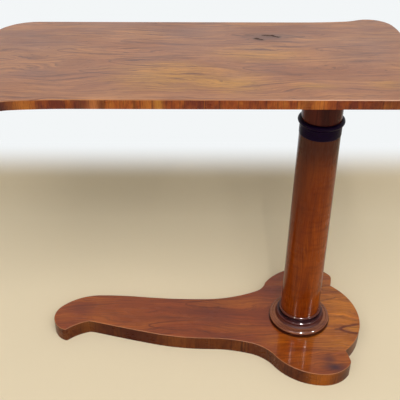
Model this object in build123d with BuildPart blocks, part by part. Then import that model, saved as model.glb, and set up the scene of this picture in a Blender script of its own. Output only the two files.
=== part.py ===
from build123d import *
import math
import os

# Adjustable over-bed table in millimetres: a scroll-ended floor frame carries a hollow turned column
# near one end, and the veneered top rises on a square post that slides inside the column.
# The origin is on the floor under the column's axis, +X towards the short end of the top, +Z up.

# Floor frame
base_height = 41.0
lobe_radius = 160.0
ear_notch_angle = 49.6
base_half_width = 200.0
tongue_length = 649.0
tongue_half_width = 80.0
arris_width = 1.2

# Column and the turned ring round its foot
column_foot_radius = 50.0
column_head_radius = 45.8
column_height = 554.0
foot_plinth_radius = 72.0
foot_plinth_height = 2.0
foot_torus_radius = 6.0
foot_torus_outer_radius = 77.3
foot_scotia_top_radius = 57.0
foot_scotia_height = 10.0
foot_bead_radius = 3.0
foot_bead_outer_radius = 58.0
foot_cove_radius = 53.0
foot_cove_height = 6.0
foot_astragal_outer_radius = 54.0

# Ebonised collar at the head of the column
collar_band_radius = 46.5
collar_band_height = 24.0
collar_quirk_height = 1.2
collar_quirk_depth = 1.4
collar_bead_radius = 5.9
collar_bead_outer_radius = 51.3
collar_lip_radius = 1.0
collar_line_width = 0.7
collar_line_depth = 0.5
collar_line_spacing = 4.5
collar_line_count = 4
column_tenon_radius = 40.0
column_tenon_height = 17.0
cup_depth = 10.0

# Rising post, its neck and the range of the height adjustment
post_width = 50.0
post_arris = 1.5
post_foot_gap = 14.0
height_travel = 280.0
neck_radius = 44.3
neck_height = 104.7
neck_cavetto_height = 14.0
neck_fillet_height = 3.0
neck_astragal_radius = 3.0
neck_cap_radius = 58.0
neck_cap_height = 8.0

# Plug that closes the foot of the column and holds it in the floor frame
plug_height = 40.0
plug_tenon_radius = 20.0
plug_tenon_depth = 28.0

# Screw clamp in the back of the column
clamp_drop = 25.0
bush_radius = 8.0
bush_wall_inset = 6.2
bush_stand_off = 3.2
screw_radius = 4.75
screw_pitch = 1.5875
clamp_turn_angle = 270.0
screw_nose_radius = 3.0
screw_nose_length = 2.5
shoe_thickness = 4.0
escutcheon_radius = 15.0
escutcheon_thickness = 2.4
knob_radius = 15.0
knob_thickness = 9.0
knob_stand_off = 4.0
knob_edge_radius = 1.6
knob_hub_radius = 8.5
knob_hub_height = 3.0
knob_flute_radius = 1.3
knob_flute_count = 20

# Brass guide plate in the collar and wear strip on the post
throat_plate_radius = 42.0
throat_plate_thickness = 3.0
wear_strip_width = 16.0
wear_strip_thickness = 3.0
wear_strip_margin = 14.0

# Stop peg in the post and its groove in the column
peg_radius = 5.0
peg_depth = 16.0
peg_end_length = 4.6
peg_rise = 15.0
groove_depth = 5.4

# Bearers under the top and the joint with the post
bearer_depth = 24.0
bearer_width = 90.0
bearer_left_length = 620.0
bearer_right_length = 130.0
bearer_level_length = 200.0
bearer_tip_depth = 12.0
cross_bearer_half_length = 165.0
cross_bearer_level_length = 62.0
cross_bearer_tip_depth = 14.0
bearer_chamfer_width = 3.0
post_tenon_width = 36.0
wedge_width = 3.2
wedge_depth = 18.0
wedge_spacing = 16.0

# Top
top_length = 900.0
top_width = 405.0
top_thickness = 19.0
top_right_length = 180.0
plain_corner_radius = 88.0
lobe_sweep_radius = 900.0
lobe_hollow_radius = 99.5
lobe_crown_radius = 54.0
lobe_shoulder_radius = 200.0
lobe_sweep_angle = 6.5
lobe_entry_angle = 26.0
lobe_exit_angle = 75.0

# Veneers
face_veneer_thickness = 1.5
edge_veneer_thickness = 1.5
column_veneer_thickness = 1.5
floor_clearance = 1.0

# Wood screws
small_screw_radius = 1.75
small_screw_head_radius = 3.6
small_screw_length = 8.5
bearer_screw_radius = 2.1
bearer_screw_head_radius = 4.4
bearer_screw_length = 19.0
bearer_screw_seat = 8.0
column_screw_radius = 3.0
column_screw_head_radius = 6.0
column_screw_length = 62.0
column_screw_seat = 12.0
column_screw_angles = (25.0, -25.0, 155.0, -155.0)
counterbore_margin = 0.8
slot_width_share = 0.22
slot_depth_share = 0.6
screw_point_share = 1.6

# Clearances and the overrun of every cut
fit_gap = 0.05
slide_gap = 0.3
seat_gap = 0.3
cup_gap = 0.7
end_gap = 0.5
overrun = 2.0

# Levels up the object, worked out from the sizes above
column_foot = base_height
column_head = column_foot + column_height
collar_top = column_head + collar_band_height + collar_quirk_height + 2 * collar_bead_radius
cup_floor = collar_top - cup_depth
tenon_top = column_head + column_tenon_height
neck_foot = cup_floor + seat_gap
bearer_underside = neck_foot + neck_height
top_underside = bearer_underside + bearer_depth
tabletop = top_underside + top_thickness
channel_floor = column_foot + plug_height
post_foot = channel_floor + post_foot_gap
clamp_level = column_head - clamp_drop
channel_width = post_width + 2 * slide_gap
clamp_travel = screw_pitch * clamp_turn_angle / 360
post_face = post_width / 2
channel_face = channel_width / 2
taper = (column_foot_radius - column_head_radius) / column_height

# Directions in which the tongue's back edge leaves its cusp and its front edge leaves the heel
back_cusp_angle = 257.2
heel_angle = -1.9
back_cusp_heading = (math.cos(math.radians(back_cusp_angle)), math.sin(math.radians(back_cusp_angle)))
heel_heading = (math.cos(math.radians(heel_angle)), math.sin(math.radians(heel_angle)))

# Ear at each side of the floor frame: x in lobe radii, y from the notch (0) to the far edge (1)
ear_low_share = (0.269, 1.0)
ear_cusp_share = (-0.494, 0.143)
ear_tip_low_share = (0.666, 0.591)
ear_tip_high_share = (0.691, 0.386)

# Tongue of the floor frame: ends of its tangent arcs, x in tongue lengths, y in tongue half widths
back_edge_shares = ((-0.1644, 1.230), (-0.3815, 0.815), (-0.6542, 0.9225), (-0.8257, 0.9938),
                    (-0.976, 0.4625), (-0.9587, -0.605), (-0.9405, -0.646))
front_edge_shares = ((-0.8342, -0.281), (-0.5932, -0.795), (-0.3646, -1.015), (-0.2045, -1.209))
scroll_hollow_share = (-0.9005, -0.4075)
heel_share = (-0.854, -0.256)

os.makedirs("parts", exist_ok=True)


def column_radius(level):
    """Outer radius of the tapered column at a level above the floor."""
    return column_foot_radius - taper * (level - column_foot)


def ear_point(share, side):
    """Point on an ear: side is +1 at the back and -1 at the front."""
    notch_y = lobe_radius * math.sin(math.radians(ear_notch_angle))
    across = notch_y + share[1] * (base_half_width - notch_y)
    return (share[0] * lobe_radius, side * across)


def tongue_points(shares):
    """Points on the tongue from a table of shares."""
    return [(x * tongue_length, y * tongue_half_width) for x, y in shares]


def draw_ear(side):
    """Four tangent arcs from the low point of an ear to its cusp and, round the tip, to the notch."""
    low = ear_point(ear_low_share, side)
    notch = (lobe_radius * math.cos(math.radians(ear_notch_angle)),
             side * lobe_radius * math.sin(math.radians(ear_notch_angle)))
    TangentArc(low, ear_point(ear_cusp_share, side), tangent=(-1, 0))
    round_arc = TangentArc(low, ear_point(ear_tip_low_share, side), tangent=(1, 0))
    tip_arc = TangentArc(round_arc @ 1, ear_point(ear_tip_high_share, side), tangent=round_arc % 1)
    TangentArc(tip_arc @ 1, notch, tangent=tip_arc % 1)


def draw_tangent_arcs(start, heading, points):
    """Arcs from point to point, each leaving in the direction in which the last one arrived."""
    for point in points:
        arc = TangentArc(start, point, tangent=heading)
        start, heading = arc @ 1, arc % 1


def floor_frame_outline(inset):
    """Plan of the floor frame: a round lobe under the column, an ear each side, a scrolled tongue."""
    with BuildSketch() as plan:
        with BuildLine():
            CenterArc((0, 0), lobe_radius, -ear_notch_angle, 2 * ear_notch_angle)
            for side in (1, -1):
                draw_ear(side)
            back_cusp = ear_point(ear_cusp_share, 1)
            front_cusp = ear_point(ear_cusp_share, -1)
            back_edge = tongue_points(back_edge_shares)
            hollow, heel = tongue_points((scroll_hollow_share, heel_share))
            draw_tangent_arcs(back_cusp, back_cusp_heading, back_edge)
            ThreePointArc(back_edge[-1], hollow, heel)
            draw_tangent_arcs(heel, heel_heading, tongue_points(front_edge_shares) + [front_cusp])
        make_face()
        if inset:
            offset(amount=-inset)
    return plan.sketch


def top_half(heading):
    """Half of the top's edge: a long side, a plain corner, an end and a lobed corner, counterclockwise."""
    sweep = math.radians(lobe_sweep_angle)
    entry = math.radians(lobe_entry_angle)
    leave = math.radians(lobe_exit_angle)
    lobe_run = (lobe_sweep_radius * math.sin(sweep)
                + lobe_hollow_radius * (math.sin(entry) - math.sin(sweep))
                + lobe_crown_radius * (math.sin(entry) + math.sin(leave))
                + lobe_shoulder_radius * (1 - math.sin(leave)))
    lobe_rise = (lobe_sweep_radius * (1 - math.cos(sweep))
                 + lobe_hollow_radius * (math.cos(sweep) - math.cos(entry))
                 + lobe_crown_radius * (1 - math.cos(entry)))
    lobe_drop = (lobe_shoulder_radius * math.cos(leave) + lobe_crown_radius * (1 - math.cos(leave))
                 - lobe_rise)
    centre_x = top_right_length - top_length / 2
    side_y = -heading * top_width / 2
    side_start = (centre_x - heading * (top_length / 2 - lobe_run), side_y)
    side_end = (centre_x + heading * (top_length / 2 - plain_corner_radius), side_y)
    Line(side_start, side_end)
    corner = JernArc(side_end, (heading, 0), plain_corner_radius, 90)
    shoulder_start = (centre_x + heading * top_length / 2, heading * (top_width / 2 - lobe_drop))
    Line(corner @ 1, shoulder_start)
    shoulder = JernArc(shoulder_start, (0, heading), lobe_shoulder_radius, 90 - lobe_exit_angle)
    crown = JernArc(shoulder @ 1, shoulder % 1, lobe_crown_radius, lobe_exit_angle + lobe_entry_angle)
    hollow = JernArc(crown @ 1, crown % 1, lobe_hollow_radius, lobe_sweep_angle - lobe_entry_angle)
    JernArc(hollow @ 1, hollow % 1, lobe_sweep_radius, -lobe_sweep_angle)


def top_outline(inset):
    """Plan of the top: two plain and two lobed corners, the same when turned through half a turn."""
    with BuildSketch() as plan:
        with BuildLine():
            top_half(1)
            top_half(-1)
        make_face()
        if inset:
            offset(amount=-inset)
    return plan.sketch


def veneer_sheet(plan, level):
    """Face veneer laid at a level, its upper arris rubbed off at 45 degrees."""
    with BuildPart() as sheet:
        with BuildSketch(Plane.XY.offset(level)):
            add(plan)
        extrude(amount=face_veneer_thickness - arris_width)
        with BuildSketch(Plane.XY.offset(level + face_veneer_thickness - arris_width)):
            add(plan)
        extrude(amount=arris_width, taper=45)
    return sheet.part


def wood_screw(length, radius, head_radius):
    """Slotted countersunk screw, head up with its face at the origin and its point down."""
    head_depth = head_radius - radius
    point_length = radius * screw_point_share
    with BuildPart() as screw:
        with BuildSketch(Plane.XZ):
            Polygon((0, 0), (head_radius, 0), (radius, -head_depth), (radius, point_length - length),
                    (0, -length), align=None)
        revolve(axis=Axis.Z)
        slot_depth = head_depth * slot_depth_share
        with BuildSketch(Plane.XY):
            Rectangle(3 * head_radius, 2 * head_radius * slot_width_share)
        extrude(amount=-slot_depth, mode=Mode.SUBTRACT)
    return screw.part


def screw_hole(length, radius, head_radius):
    """Room for a wood screw with a thin clearance round its shank and its countersunk head."""
    head_depth = head_radius - radius
    with BuildPart() as hole:
        with BuildSketch(Plane.XZ):
            Polygon((0, overrun), (head_radius + fit_gap, overrun), (head_radius + fit_gap, 0),
                    (radius + fit_gap, -head_depth), (radius + fit_gap, -length - end_gap),
                    (0, -length - end_gap), align=None)
        revolve(axis=Axis.Z)
    return hole.part


# Core of the floor frame, with the blind mortise for the column's tenon and counterbored screw holes
column_screw_circle_radius = (channel_face + column_foot_radius) / 2
column_screw_points = [(column_screw_circle_radius * math.sin(math.radians(turn)),
                        column_screw_circle_radius * math.cos(math.radians(turn)))
                       for turn in column_screw_angles]
core_top = base_height - face_veneer_thickness
column_screw_hole = screw_hole(column_screw_length, column_screw_radius, column_screw_head_radius)
with BuildPart() as base_core:
    with BuildSketch():
        add(floor_frame_outline(edge_veneer_thickness))
    extrude(amount=core_top)
    with BuildSketch(Plane.XY.offset(column_foot - plug_tenon_depth - seat_gap)):
        Circle(plug_tenon_radius + fit_gap)
    extrude(amount=plug_tenon_depth, mode=Mode.SUBTRACT)
    for point in column_screw_points:
        seat = Plane(origin=(*point, column_screw_seat), z_dir=(0, 0, -1))
        add(column_screw_hole.moved(seat.location), mode=Mode.SUBTRACT)
        with BuildSketch(Plane.XY.offset(column_screw_seat)):
            with Locations(point):
                Circle(column_screw_head_radius + counterbore_margin)
        extrude(amount=-column_screw_seat - overrun, mode=Mode.SUBTRACT)
base_core.part.label = "base_core"
export_step(base_core.part, "parts/base_core.step")

# Veneer on the upper face of the floor frame
with BuildPart() as base_face_veneer:
    add(veneer_sheet(floor_frame_outline(0), core_top))
    with BuildSketch(Plane.XY.offset(core_top)):
        Circle(plug_tenon_radius + fit_gap)
        with Locations(*column_screw_points):
            Circle(column_screw_radius + fit_gap)
    extrude(amount=face_veneer_thickness + overrun, mode=Mode.SUBTRACT)
base_face_veneer.part.label = "base_face_veneer"
export_step(base_face_veneer.part, "parts/base_face_veneer.step")

# Veneer laid round the edge of the floor frame, kept just clear of the floor
with BuildPart() as base_edge_veneer:
    with BuildSketch(Plane.XY.offset(floor_clearance)):
        add(floor_frame_outline(0))
        add(floor_frame_outline(edge_veneer_thickness), mode=Mode.SUBTRACT)
    extrude(amount=core_top - floor_clearance)
base_edge_veneer.part.label = "base_edge_veneer"
export_step(base_edge_veneer.part, "parts/base_edge_veneer.step")

# Turned ring round the foot of the column: plinth, torus, scotia, bead, cove and astragal
ring_inner = column_foot_radius + fit_gap
torus_centre = foot_torus_outer_radius - foot_torus_radius
torus_base = column_foot + foot_plinth_height
torus_top = torus_base + 2 * foot_torus_radius
scotia_top = torus_top + foot_scotia_height
bead_top = scotia_top + 2 * foot_bead_radius
cove_top = bead_top + foot_cove_height
ring_top = cove_top + 2 * foot_bead_radius
bead_seat = foot_bead_outer_radius - foot_bead_radius
astragal_seat = foot_astragal_outer_radius - foot_bead_radius
with BuildPart() as foot_ring:
    with BuildSketch(Plane.XZ):
        with BuildLine():
            Polyline((ring_inner, ring_top), (ring_inner, column_foot), (foot_plinth_radius, column_foot),
                     (foot_plinth_radius, torus_base), (torus_centre, torus_base))
            ThreePointArc((torus_centre, torus_base),
                          (foot_torus_outer_radius, torus_base + foot_torus_radius),
                          (torus_centre, torus_top))
            TangentArc((foot_scotia_top_radius, scotia_top), (torus_centre, torus_top), tangent=(0, -1))
            Line((foot_scotia_top_radius, scotia_top), (bead_seat, scotia_top))
            ThreePointArc((bead_seat, scotia_top), (foot_bead_outer_radius, scotia_top + foot_bead_radius),
                          (bead_seat, bead_top))
            Line((bead_seat, bead_top), (foot_cove_radius, bead_top))
            Line((foot_cove_radius, bead_top), (foot_cove_radius, cove_top))
            Line((foot_cove_radius, cove_top), (astragal_seat, cove_top))
            ThreePointArc((astragal_seat, cove_top),
                          (foot_astragal_outer_radius, cove_top + foot_bead_radius),
                          (astragal_seat, ring_top))
            Line((astragal_seat, ring_top), (ring_inner, ring_top))
        make_face()
    revolve(axis=Axis.Z)
foot_ring.part.label = "foot_ring"
export_step(foot_ring.part, "parts/foot_ring.step")

# The column's core: one tapered blank with a square channel, sawn into a front and a back half
core_foot_radius = column_foot_radius - column_veneer_thickness
core_head_radius = column_head_radius - column_veneer_thickness
peg_level = post_foot + peg_rise
groove_top = peg_level + peg_radius + height_travel + end_gap
groove_foot = peg_level - peg_radius - end_gap
clamp_plane = Plane(origin=(0, 0, clamp_level), x_dir=(1, 0, 0), z_dir=(0, 1, 0))
with BuildPart() as column_blank:
    with BuildSketch(Plane.XZ):
        Polygon((0, column_foot), (core_foot_radius, column_foot), (core_head_radius, column_head),
                (column_tenon_radius, column_head), (column_tenon_radius, tenon_top), (0, tenon_top),
                align=None)
    revolve(axis=Axis.Z)
    with BuildSketch(Plane.XY.offset(column_foot)):
        Rectangle(channel_width, channel_width)
    extrude(amount=tenon_top - column_foot + overrun, mode=Mode.SUBTRACT)
    with BuildSketch(Plane.XY.offset(groove_foot)):
        with Locations((channel_face + (groove_depth - overrun) / 2, 0)):
            Rectangle(groove_depth + overrun, 2 * (peg_radius + slide_gap))
    extrude(amount=groove_top - groove_foot, mode=Mode.SUBTRACT)
    with BuildSketch(clamp_plane.offset(channel_face - overrun)):
        Circle(bush_radius + fit_gap)
    extrude(amount=column_foot_radius, mode=Mode.SUBTRACT)
    for point in column_screw_points:
        seat = Plane(origin=(*point, column_screw_seat), z_dir=(0, 0, -1))
        add(column_screw_hole.moved(seat.location), mode=Mode.SUBTRACT)

with BuildPart() as column_half_front:
    add(column_blank.part)
    split(bisect_by=Plane.XZ, keep=Keep.TOP)
column_half_front.part.label = "column_half_front"
export_step(column_half_front.part, "parts/column_half_front.step")

with BuildPart() as column_half_back:
    add(column_blank.part)
    split(bisect_by=Plane.XZ, keep=Keep.BOTTOM)
column_half_back.part.label = "column_half_back"
export_step(column_half_back.part, "parts/column_half_back.step")

# Veneer wrapped round the column, a thin tapered shell
with BuildPart() as column_veneer:
    with BuildSketch(Plane.XZ):
        Polygon((core_foot_radius, column_foot), (column_foot_radius, column_foot),
                (column_head_radius, column_head), (core_head_radius, column_head), align=None)
    revolve(axis=Axis.Z)
    with BuildSketch(clamp_plane):
        Circle(bush_radius + fit_gap)
    extrude(amount=2 * column_foot_radius, mode=Mode.SUBTRACT)
column_veneer.part.label = "column_veneer"
export_step(column_veneer.part, "parts/column_veneer.step")

# Plug that fills the foot of the channel, with a round tenon glued into the floor frame
with BuildPart() as column_plug:
    with BuildSketch(Plane.XY.offset(column_foot)):
        Rectangle(channel_width - 2 * fit_gap, channel_width - 2 * fit_gap)
    extrude(amount=plug_height)
    with BuildSketch(Plane.XY.offset(column_foot)):
        Circle(plug_tenon_radius)
    extrude(amount=-plug_tenon_depth)
column_plug.part.label = "column_plug"
export_step(column_plug.part, "parts/column_plug.step")

# Screws driven from below the floor frame into the foot of the column
column_screw = wood_screw(column_screw_length, column_screw_radius, column_screw_head_radius)
with BuildPart() as column_screws:
    for point in column_screw_points:
        add(column_screw.moved(Plane(origin=(*point, column_screw_seat), z_dir=(0, 0, -1)).location))
column_screws.part.label = "column_screws"
export_step(column_screws.part, "parts/column_screws.step")

# Ebonised collar: a lined band, a quirk and a bead, bored for the column's tenon and cupped for the neck
band_top = column_head + collar_band_height
quirk_top = band_top + collar_quirk_height
bead_centre_level = quirk_top + collar_bead_radius
bead_root = collar_bead_outer_radius - collar_bead_radius
quirk_radius = collar_band_radius - collar_quirk_depth
cup_radius = neck_radius + cup_gap
throat_seat = cup_floor - throat_plate_thickness
throat_screw_circle_radius = (channel_face + throat_plate_radius) / 2
throat_screw_points = [(throat_screw_circle_radius * x, throat_screw_circle_radius * y)
                       for x, y in ((1, 0), (0, 1), (-1, 0), (0, -1))]
small_screw_hole = screw_hole(small_screw_length, small_screw_radius, small_screw_head_radius)
with BuildPart() as collar:
    with BuildSketch(Plane.XZ):
        with BuildLine():
            Polyline((0, collar_top), (0, column_head), (collar_band_radius, column_head),
                     (collar_band_radius, band_top), (quirk_radius, band_top), (quirk_radius, quirk_top),
                     (bead_root, quirk_top))
            ThreePointArc((bead_root, quirk_top), (collar_bead_outer_radius, bead_centre_level),
                          (bead_root, collar_top))
            Line((bead_root, collar_top), (0, collar_top))
        make_face()
    revolve(axis=Axis.Z)
    fillet(collar.edges().group_by(Axis.Z)[0], collar_lip_radius)
    with BuildSketch(Plane.XZ):
        for line in range(collar_line_count):
            with Locations((collar_band_radius, column_head + (line + 1) * collar_line_spacing)):
                Rectangle(2 * collar_line_depth, collar_line_width)
    revolve(axis=Axis.Z, mode=Mode.SUBTRACT)
    with BuildSketch(Plane.XY.offset(column_head)):
        Circle(column_tenon_radius + fit_gap)
    extrude(amount=column_tenon_height, mode=Mode.SUBTRACT)
    with BuildSketch(Plane.XY.offset(cup_floor)):
        Circle(cup_radius)
    extrude(amount=cup_depth + overrun, mode=Mode.SUBTRACT)
    with BuildSketch(Plane.XY.offset(throat_seat)):
        Circle(throat_plate_radius + fit_gap)
    extrude(amount=throat_plate_thickness + overrun, mode=Mode.SUBTRACT)
    with BuildSketch(Plane.XY.offset(column_head)):
        Rectangle(channel_width, channel_width)
    extrude(amount=collar_top, mode=Mode.SUBTRACT)
    for point in throat_screw_points:
        add(small_screw_hole.moved(Location((*point, cup_floor))), mode=Mode.SUBTRACT)
collar.part.label = "collar"
export_step(collar.part, "parts/collar.step")

# Brass plate let into the cup, whose square throat guides the post
with BuildPart() as throat_plate:
    with BuildSketch(Plane.XY.offset(throat_seat)):
        Circle(throat_plate_radius)
        Rectangle(channel_width, channel_width, mode=Mode.SUBTRACT)
    extrude(amount=throat_plate_thickness)
    for point in throat_screw_points:
        add(small_screw_hole.moved(Location((*point, cup_floor))), mode=Mode.SUBTRACT)
throat_plate.part.label = "throat_plate"
export_step(throat_plate.part, "parts/throat_plate.step")

# Countersunk brass screws that hold the throat plate
small_screw = wood_screw(small_screw_length, small_screw_radius, small_screw_head_radius)
with BuildPart() as throat_screws:
    for point in throat_screw_points:
        add(small_screw.moved(Location((*point, cup_floor))))
throat_screws.part.label = "throat_screws"
export_step(throat_screws.part, "parts/throat_screws.step")

# Threaded brass bush of the clamp, let into the back half of the column
bush_inner = channel_face + bush_wall_inset
bush_outer = column_radius(clamp_level) + bush_stand_off
with BuildPart() as clamp_bush:
    with BuildSketch(clamp_plane.offset(bush_inner)):
        Circle(bush_radius)
        Circle(screw_radius + fit_gap, mode=Mode.SUBTRACT)
    extrude(amount=bush_outer - bush_inner)
clamp_bush.part.label = "clamp_bush"
export_step(clamp_bush.part, "parts/clamp_bush.step")

# Escutcheon round the bush: its back is hollowed to the round of the column
with BuildPart() as clamp_escutcheon:
    with BuildSketch(clamp_plane.offset(channel_face)):
        Circle(escutcheon_radius)
        Circle(bush_radius + fit_gap, mode=Mode.SUBTRACT)
    extrude(amount=column_radius(clamp_level) + escutcheon_thickness - channel_face)
    chamfer(clamp_escutcheon.faces().sort_by(Axis.Y)[-1].outer_wire().edges(), arris_width)
    with BuildSketch(Plane.XZ):
        Polygon((0, column_foot), (column_foot_radius, column_foot), (column_head_radius, column_head),
                (0, column_head), align=None)
    revolve(axis=Axis.Z, mode=Mode.SUBTRACT)
clamp_escutcheon.part.label = "clamp_escutcheon"
export_step(clamp_escutcheon.part, "parts/clamp_escutcheon.step")

# Clamp shoe, drawn back by the clamp's travel, with the socket that the screw's nose turns in
shoe_face = post_face + fit_gap + clamp_travel
shoe_back = shoe_face + shoe_thickness
with BuildPart() as clamp_shoe:
    with BuildSketch(clamp_plane.offset(shoe_face)):
        Circle(bush_radius - seat_gap)
    extrude(amount=shoe_thickness)
    with BuildSketch(clamp_plane.offset(shoe_back - screw_nose_length - fit_gap)):
        Circle(screw_nose_radius + fit_gap)
    extrude(amount=screw_nose_length + overrun, mode=Mode.SUBTRACT)
clamp_shoe.part.label = "clamp_shoe"
export_step(clamp_shoe.part, "parts/clamp_shoe.step")

# Thumbscrew: nose, shank, hub and a fluted knob
knob_face = bush_outer + knob_stand_off
with BuildPart() as thumbscrew:
    with BuildSketch(clamp_plane.offset(shoe_back - screw_nose_length)):
        Circle(screw_nose_radius)
    extrude(amount=screw_nose_length + overrun)
    with BuildSketch(clamp_plane.offset(shoe_back + fit_gap)):
        Circle(screw_radius)
    extrude(amount=knob_face - shoe_back)
    with BuildSketch(clamp_plane.offset(knob_face)):
        Circle(knob_radius)
        with PolarLocations(knob_radius, knob_flute_count):
            Circle(knob_flute_radius, mode=Mode.SUBTRACT)
    extrude(amount=knob_thickness)
    with BuildSketch(clamp_plane.offset(knob_face + knob_thickness)):
        Circle(knob_hub_radius)
    extrude(amount=knob_hub_height)
    fillet(thumbscrew.faces().sort_by(Axis.Y)[-1].outer_wire().edges(), knob_edge_radius)
thumbscrew.part.label = "thumbscrew"
export_step(thumbscrew.part, "parts/thumbscrew.step")

# Square post: shouldered and tenoned at its head, let in for the wear strip, bored for the stop peg
strip_foot = clamp_level - height_travel - wear_strip_margin
strip_head = clamp_level + wear_strip_margin
strip_screw_shares = (0.04, 0.35, 0.65, 0.96)
strip_screw_levels = [strip_foot + share * (strip_head - strip_foot) for share in strip_screw_shares]
peg_plane = Plane(origin=(0, 0, peg_level), x_dir=(0, 1, 0), z_dir=(1, 0, 0))
wedge_taper_share = 0.25
wedge_section = [(-wedge_width / 2, top_underside), (wedge_width / 2, top_underside),
                 (wedge_width * wedge_taper_share / 2, top_underside - wedge_depth),
                 (-wedge_width * wedge_taper_share / 2, top_underside - wedge_depth)]
with BuildPart() as inner_post:
    with BuildSketch(Plane.XY.offset(post_foot)):
        Rectangle(post_width, post_width)
    extrude(amount=bearer_underside - post_foot)
    chamfer(inner_post.edges().filter_by(Axis.Z) + inner_post.faces().sort_by(Axis.Z)[0].edges(), post_arris)
    with BuildSketch(Plane.XY.offset(bearer_underside)):
        Rectangle(post_tenon_width, post_tenon_width)
    extrude(amount=bearer_depth)
    with BuildSketch(Plane.XZ.offset(-post_tenon_width / 2)):
        for side in (1, -1):
            with Locations((side * wedge_spacing / 2, 0)):
                Polygon(*wedge_section, align=None)
    extrude(amount=post_tenon_width, mode=Mode.SUBTRACT)
    with BuildSketch(Plane.XZ.offset(-post_face - overrun)):
        with Locations((0, (strip_foot + strip_head) / 2)):
            Rectangle(wear_strip_width, strip_head - strip_foot)
    extrude(amount=wear_strip_thickness + overrun, mode=Mode.SUBTRACT)
    with BuildSketch(peg_plane.offset(post_face - peg_depth)):
        Circle(peg_radius + fit_gap)
    extrude(amount=peg_depth + overrun, mode=Mode.SUBTRACT)
    for level in strip_screw_levels:
        head = Plane(origin=(0, post_face, level), x_dir=(1, 0, 0), z_dir=(0, 1, 0))
        add(small_screw_hole.moved(head.location), mode=Mode.SUBTRACT)
inner_post.part.label = "inner_post"
export_step(inner_post.part, "parts/inner_post.step")

# Brass strip flush in the back of the post, which takes the bite of the clamp shoe
with BuildPart() as wear_strip:
    with BuildSketch(Plane.XZ.offset(-post_face)):
        with Locations((0, (strip_foot + strip_head) / 2)):
            Rectangle(wear_strip_width, strip_head - strip_foot)
    extrude(amount=wear_strip_thickness)
    for level in strip_screw_levels:
        head = Plane(origin=(0, post_face, level), x_dir=(1, 0, 0), z_dir=(0, 1, 0))
        add(small_screw_hole.moved(head.location), mode=Mode.SUBTRACT)
wear_strip.part.label = "wear_strip"
export_step(wear_strip.part, "parts/wear_strip.step")

# Countersunk brass screws, flush with the wear strip so that the shoe passes over them
with BuildPart() as wear_strip_screws:
    for level in strip_screw_levels:
        head = Plane(origin=(0, post_face, level), x_dir=(1, 0, 0), z_dir=(0, 1, 0))
        add(small_screw.moved(head.location))
wear_strip_screws.part.label = "wear_strip_screws"
export_step(wear_strip_screws.part, "parts/wear_strip_screws.step")

# Stop peg in the foot of the post: its end rides in the column's groove and meets the groove's end
with BuildPart() as stop_peg:
    with BuildSketch(peg_plane.offset(post_face - peg_depth)):
        Circle(peg_radius)
    extrude(amount=peg_depth + peg_end_length)
    chamfer(stop_peg.faces().sort_by(Axis.X)[-1].edges(), arris_width)
stop_peg.part.label = "stop_peg"
export_step(stop_peg.part, "parts/stop_peg.step")

# Neck: the drum that rises out of the collar, with an astragal, a cavetto and a cap under the bearers
cap_foot = bearer_underside - neck_cap_height
cavetto_foot = cap_foot - neck_cavetto_height
astragal_top = cavetto_foot - neck_fillet_height
astragal_foot = astragal_top - 2 * neck_astragal_radius
cavetto_head_radius = neck_cap_radius - neck_fillet_height
with BuildPart() as neck_drum:
    with BuildSketch(Plane.XZ):
        with BuildLine():
            Polyline((0, bearer_underside), (0, neck_foot), (neck_radius, neck_foot),
                     (neck_radius, astragal_foot))
            ThreePointArc((neck_radius, astragal_foot),
                          (neck_radius + neck_astragal_radius, astragal_foot + neck_astragal_radius),
                          (neck_radius, astragal_top))
            Line((neck_radius, astragal_top), (neck_radius, cavetto_foot))
            TangentArc((neck_radius, cavetto_foot), (cavetto_head_radius, cap_foot), tangent=(0, 1))
            Polyline((cavetto_head_radius, cap_foot), (neck_cap_radius, cap_foot),
                     (neck_cap_radius, bearer_underside), (0, bearer_underside))
        make_face()
    revolve(axis=Axis.Z)
    with BuildSketch(Plane.XY.offset(neck_foot)):
        Rectangle(post_width + 2 * fit_gap, post_width + 2 * fit_gap)
    extrude(amount=neck_height, mode=Mode.SUBTRACT)
neck_drum.part.label = "neck_drum"
export_step(neck_drum.part, "parts/neck_drum.step")

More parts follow.
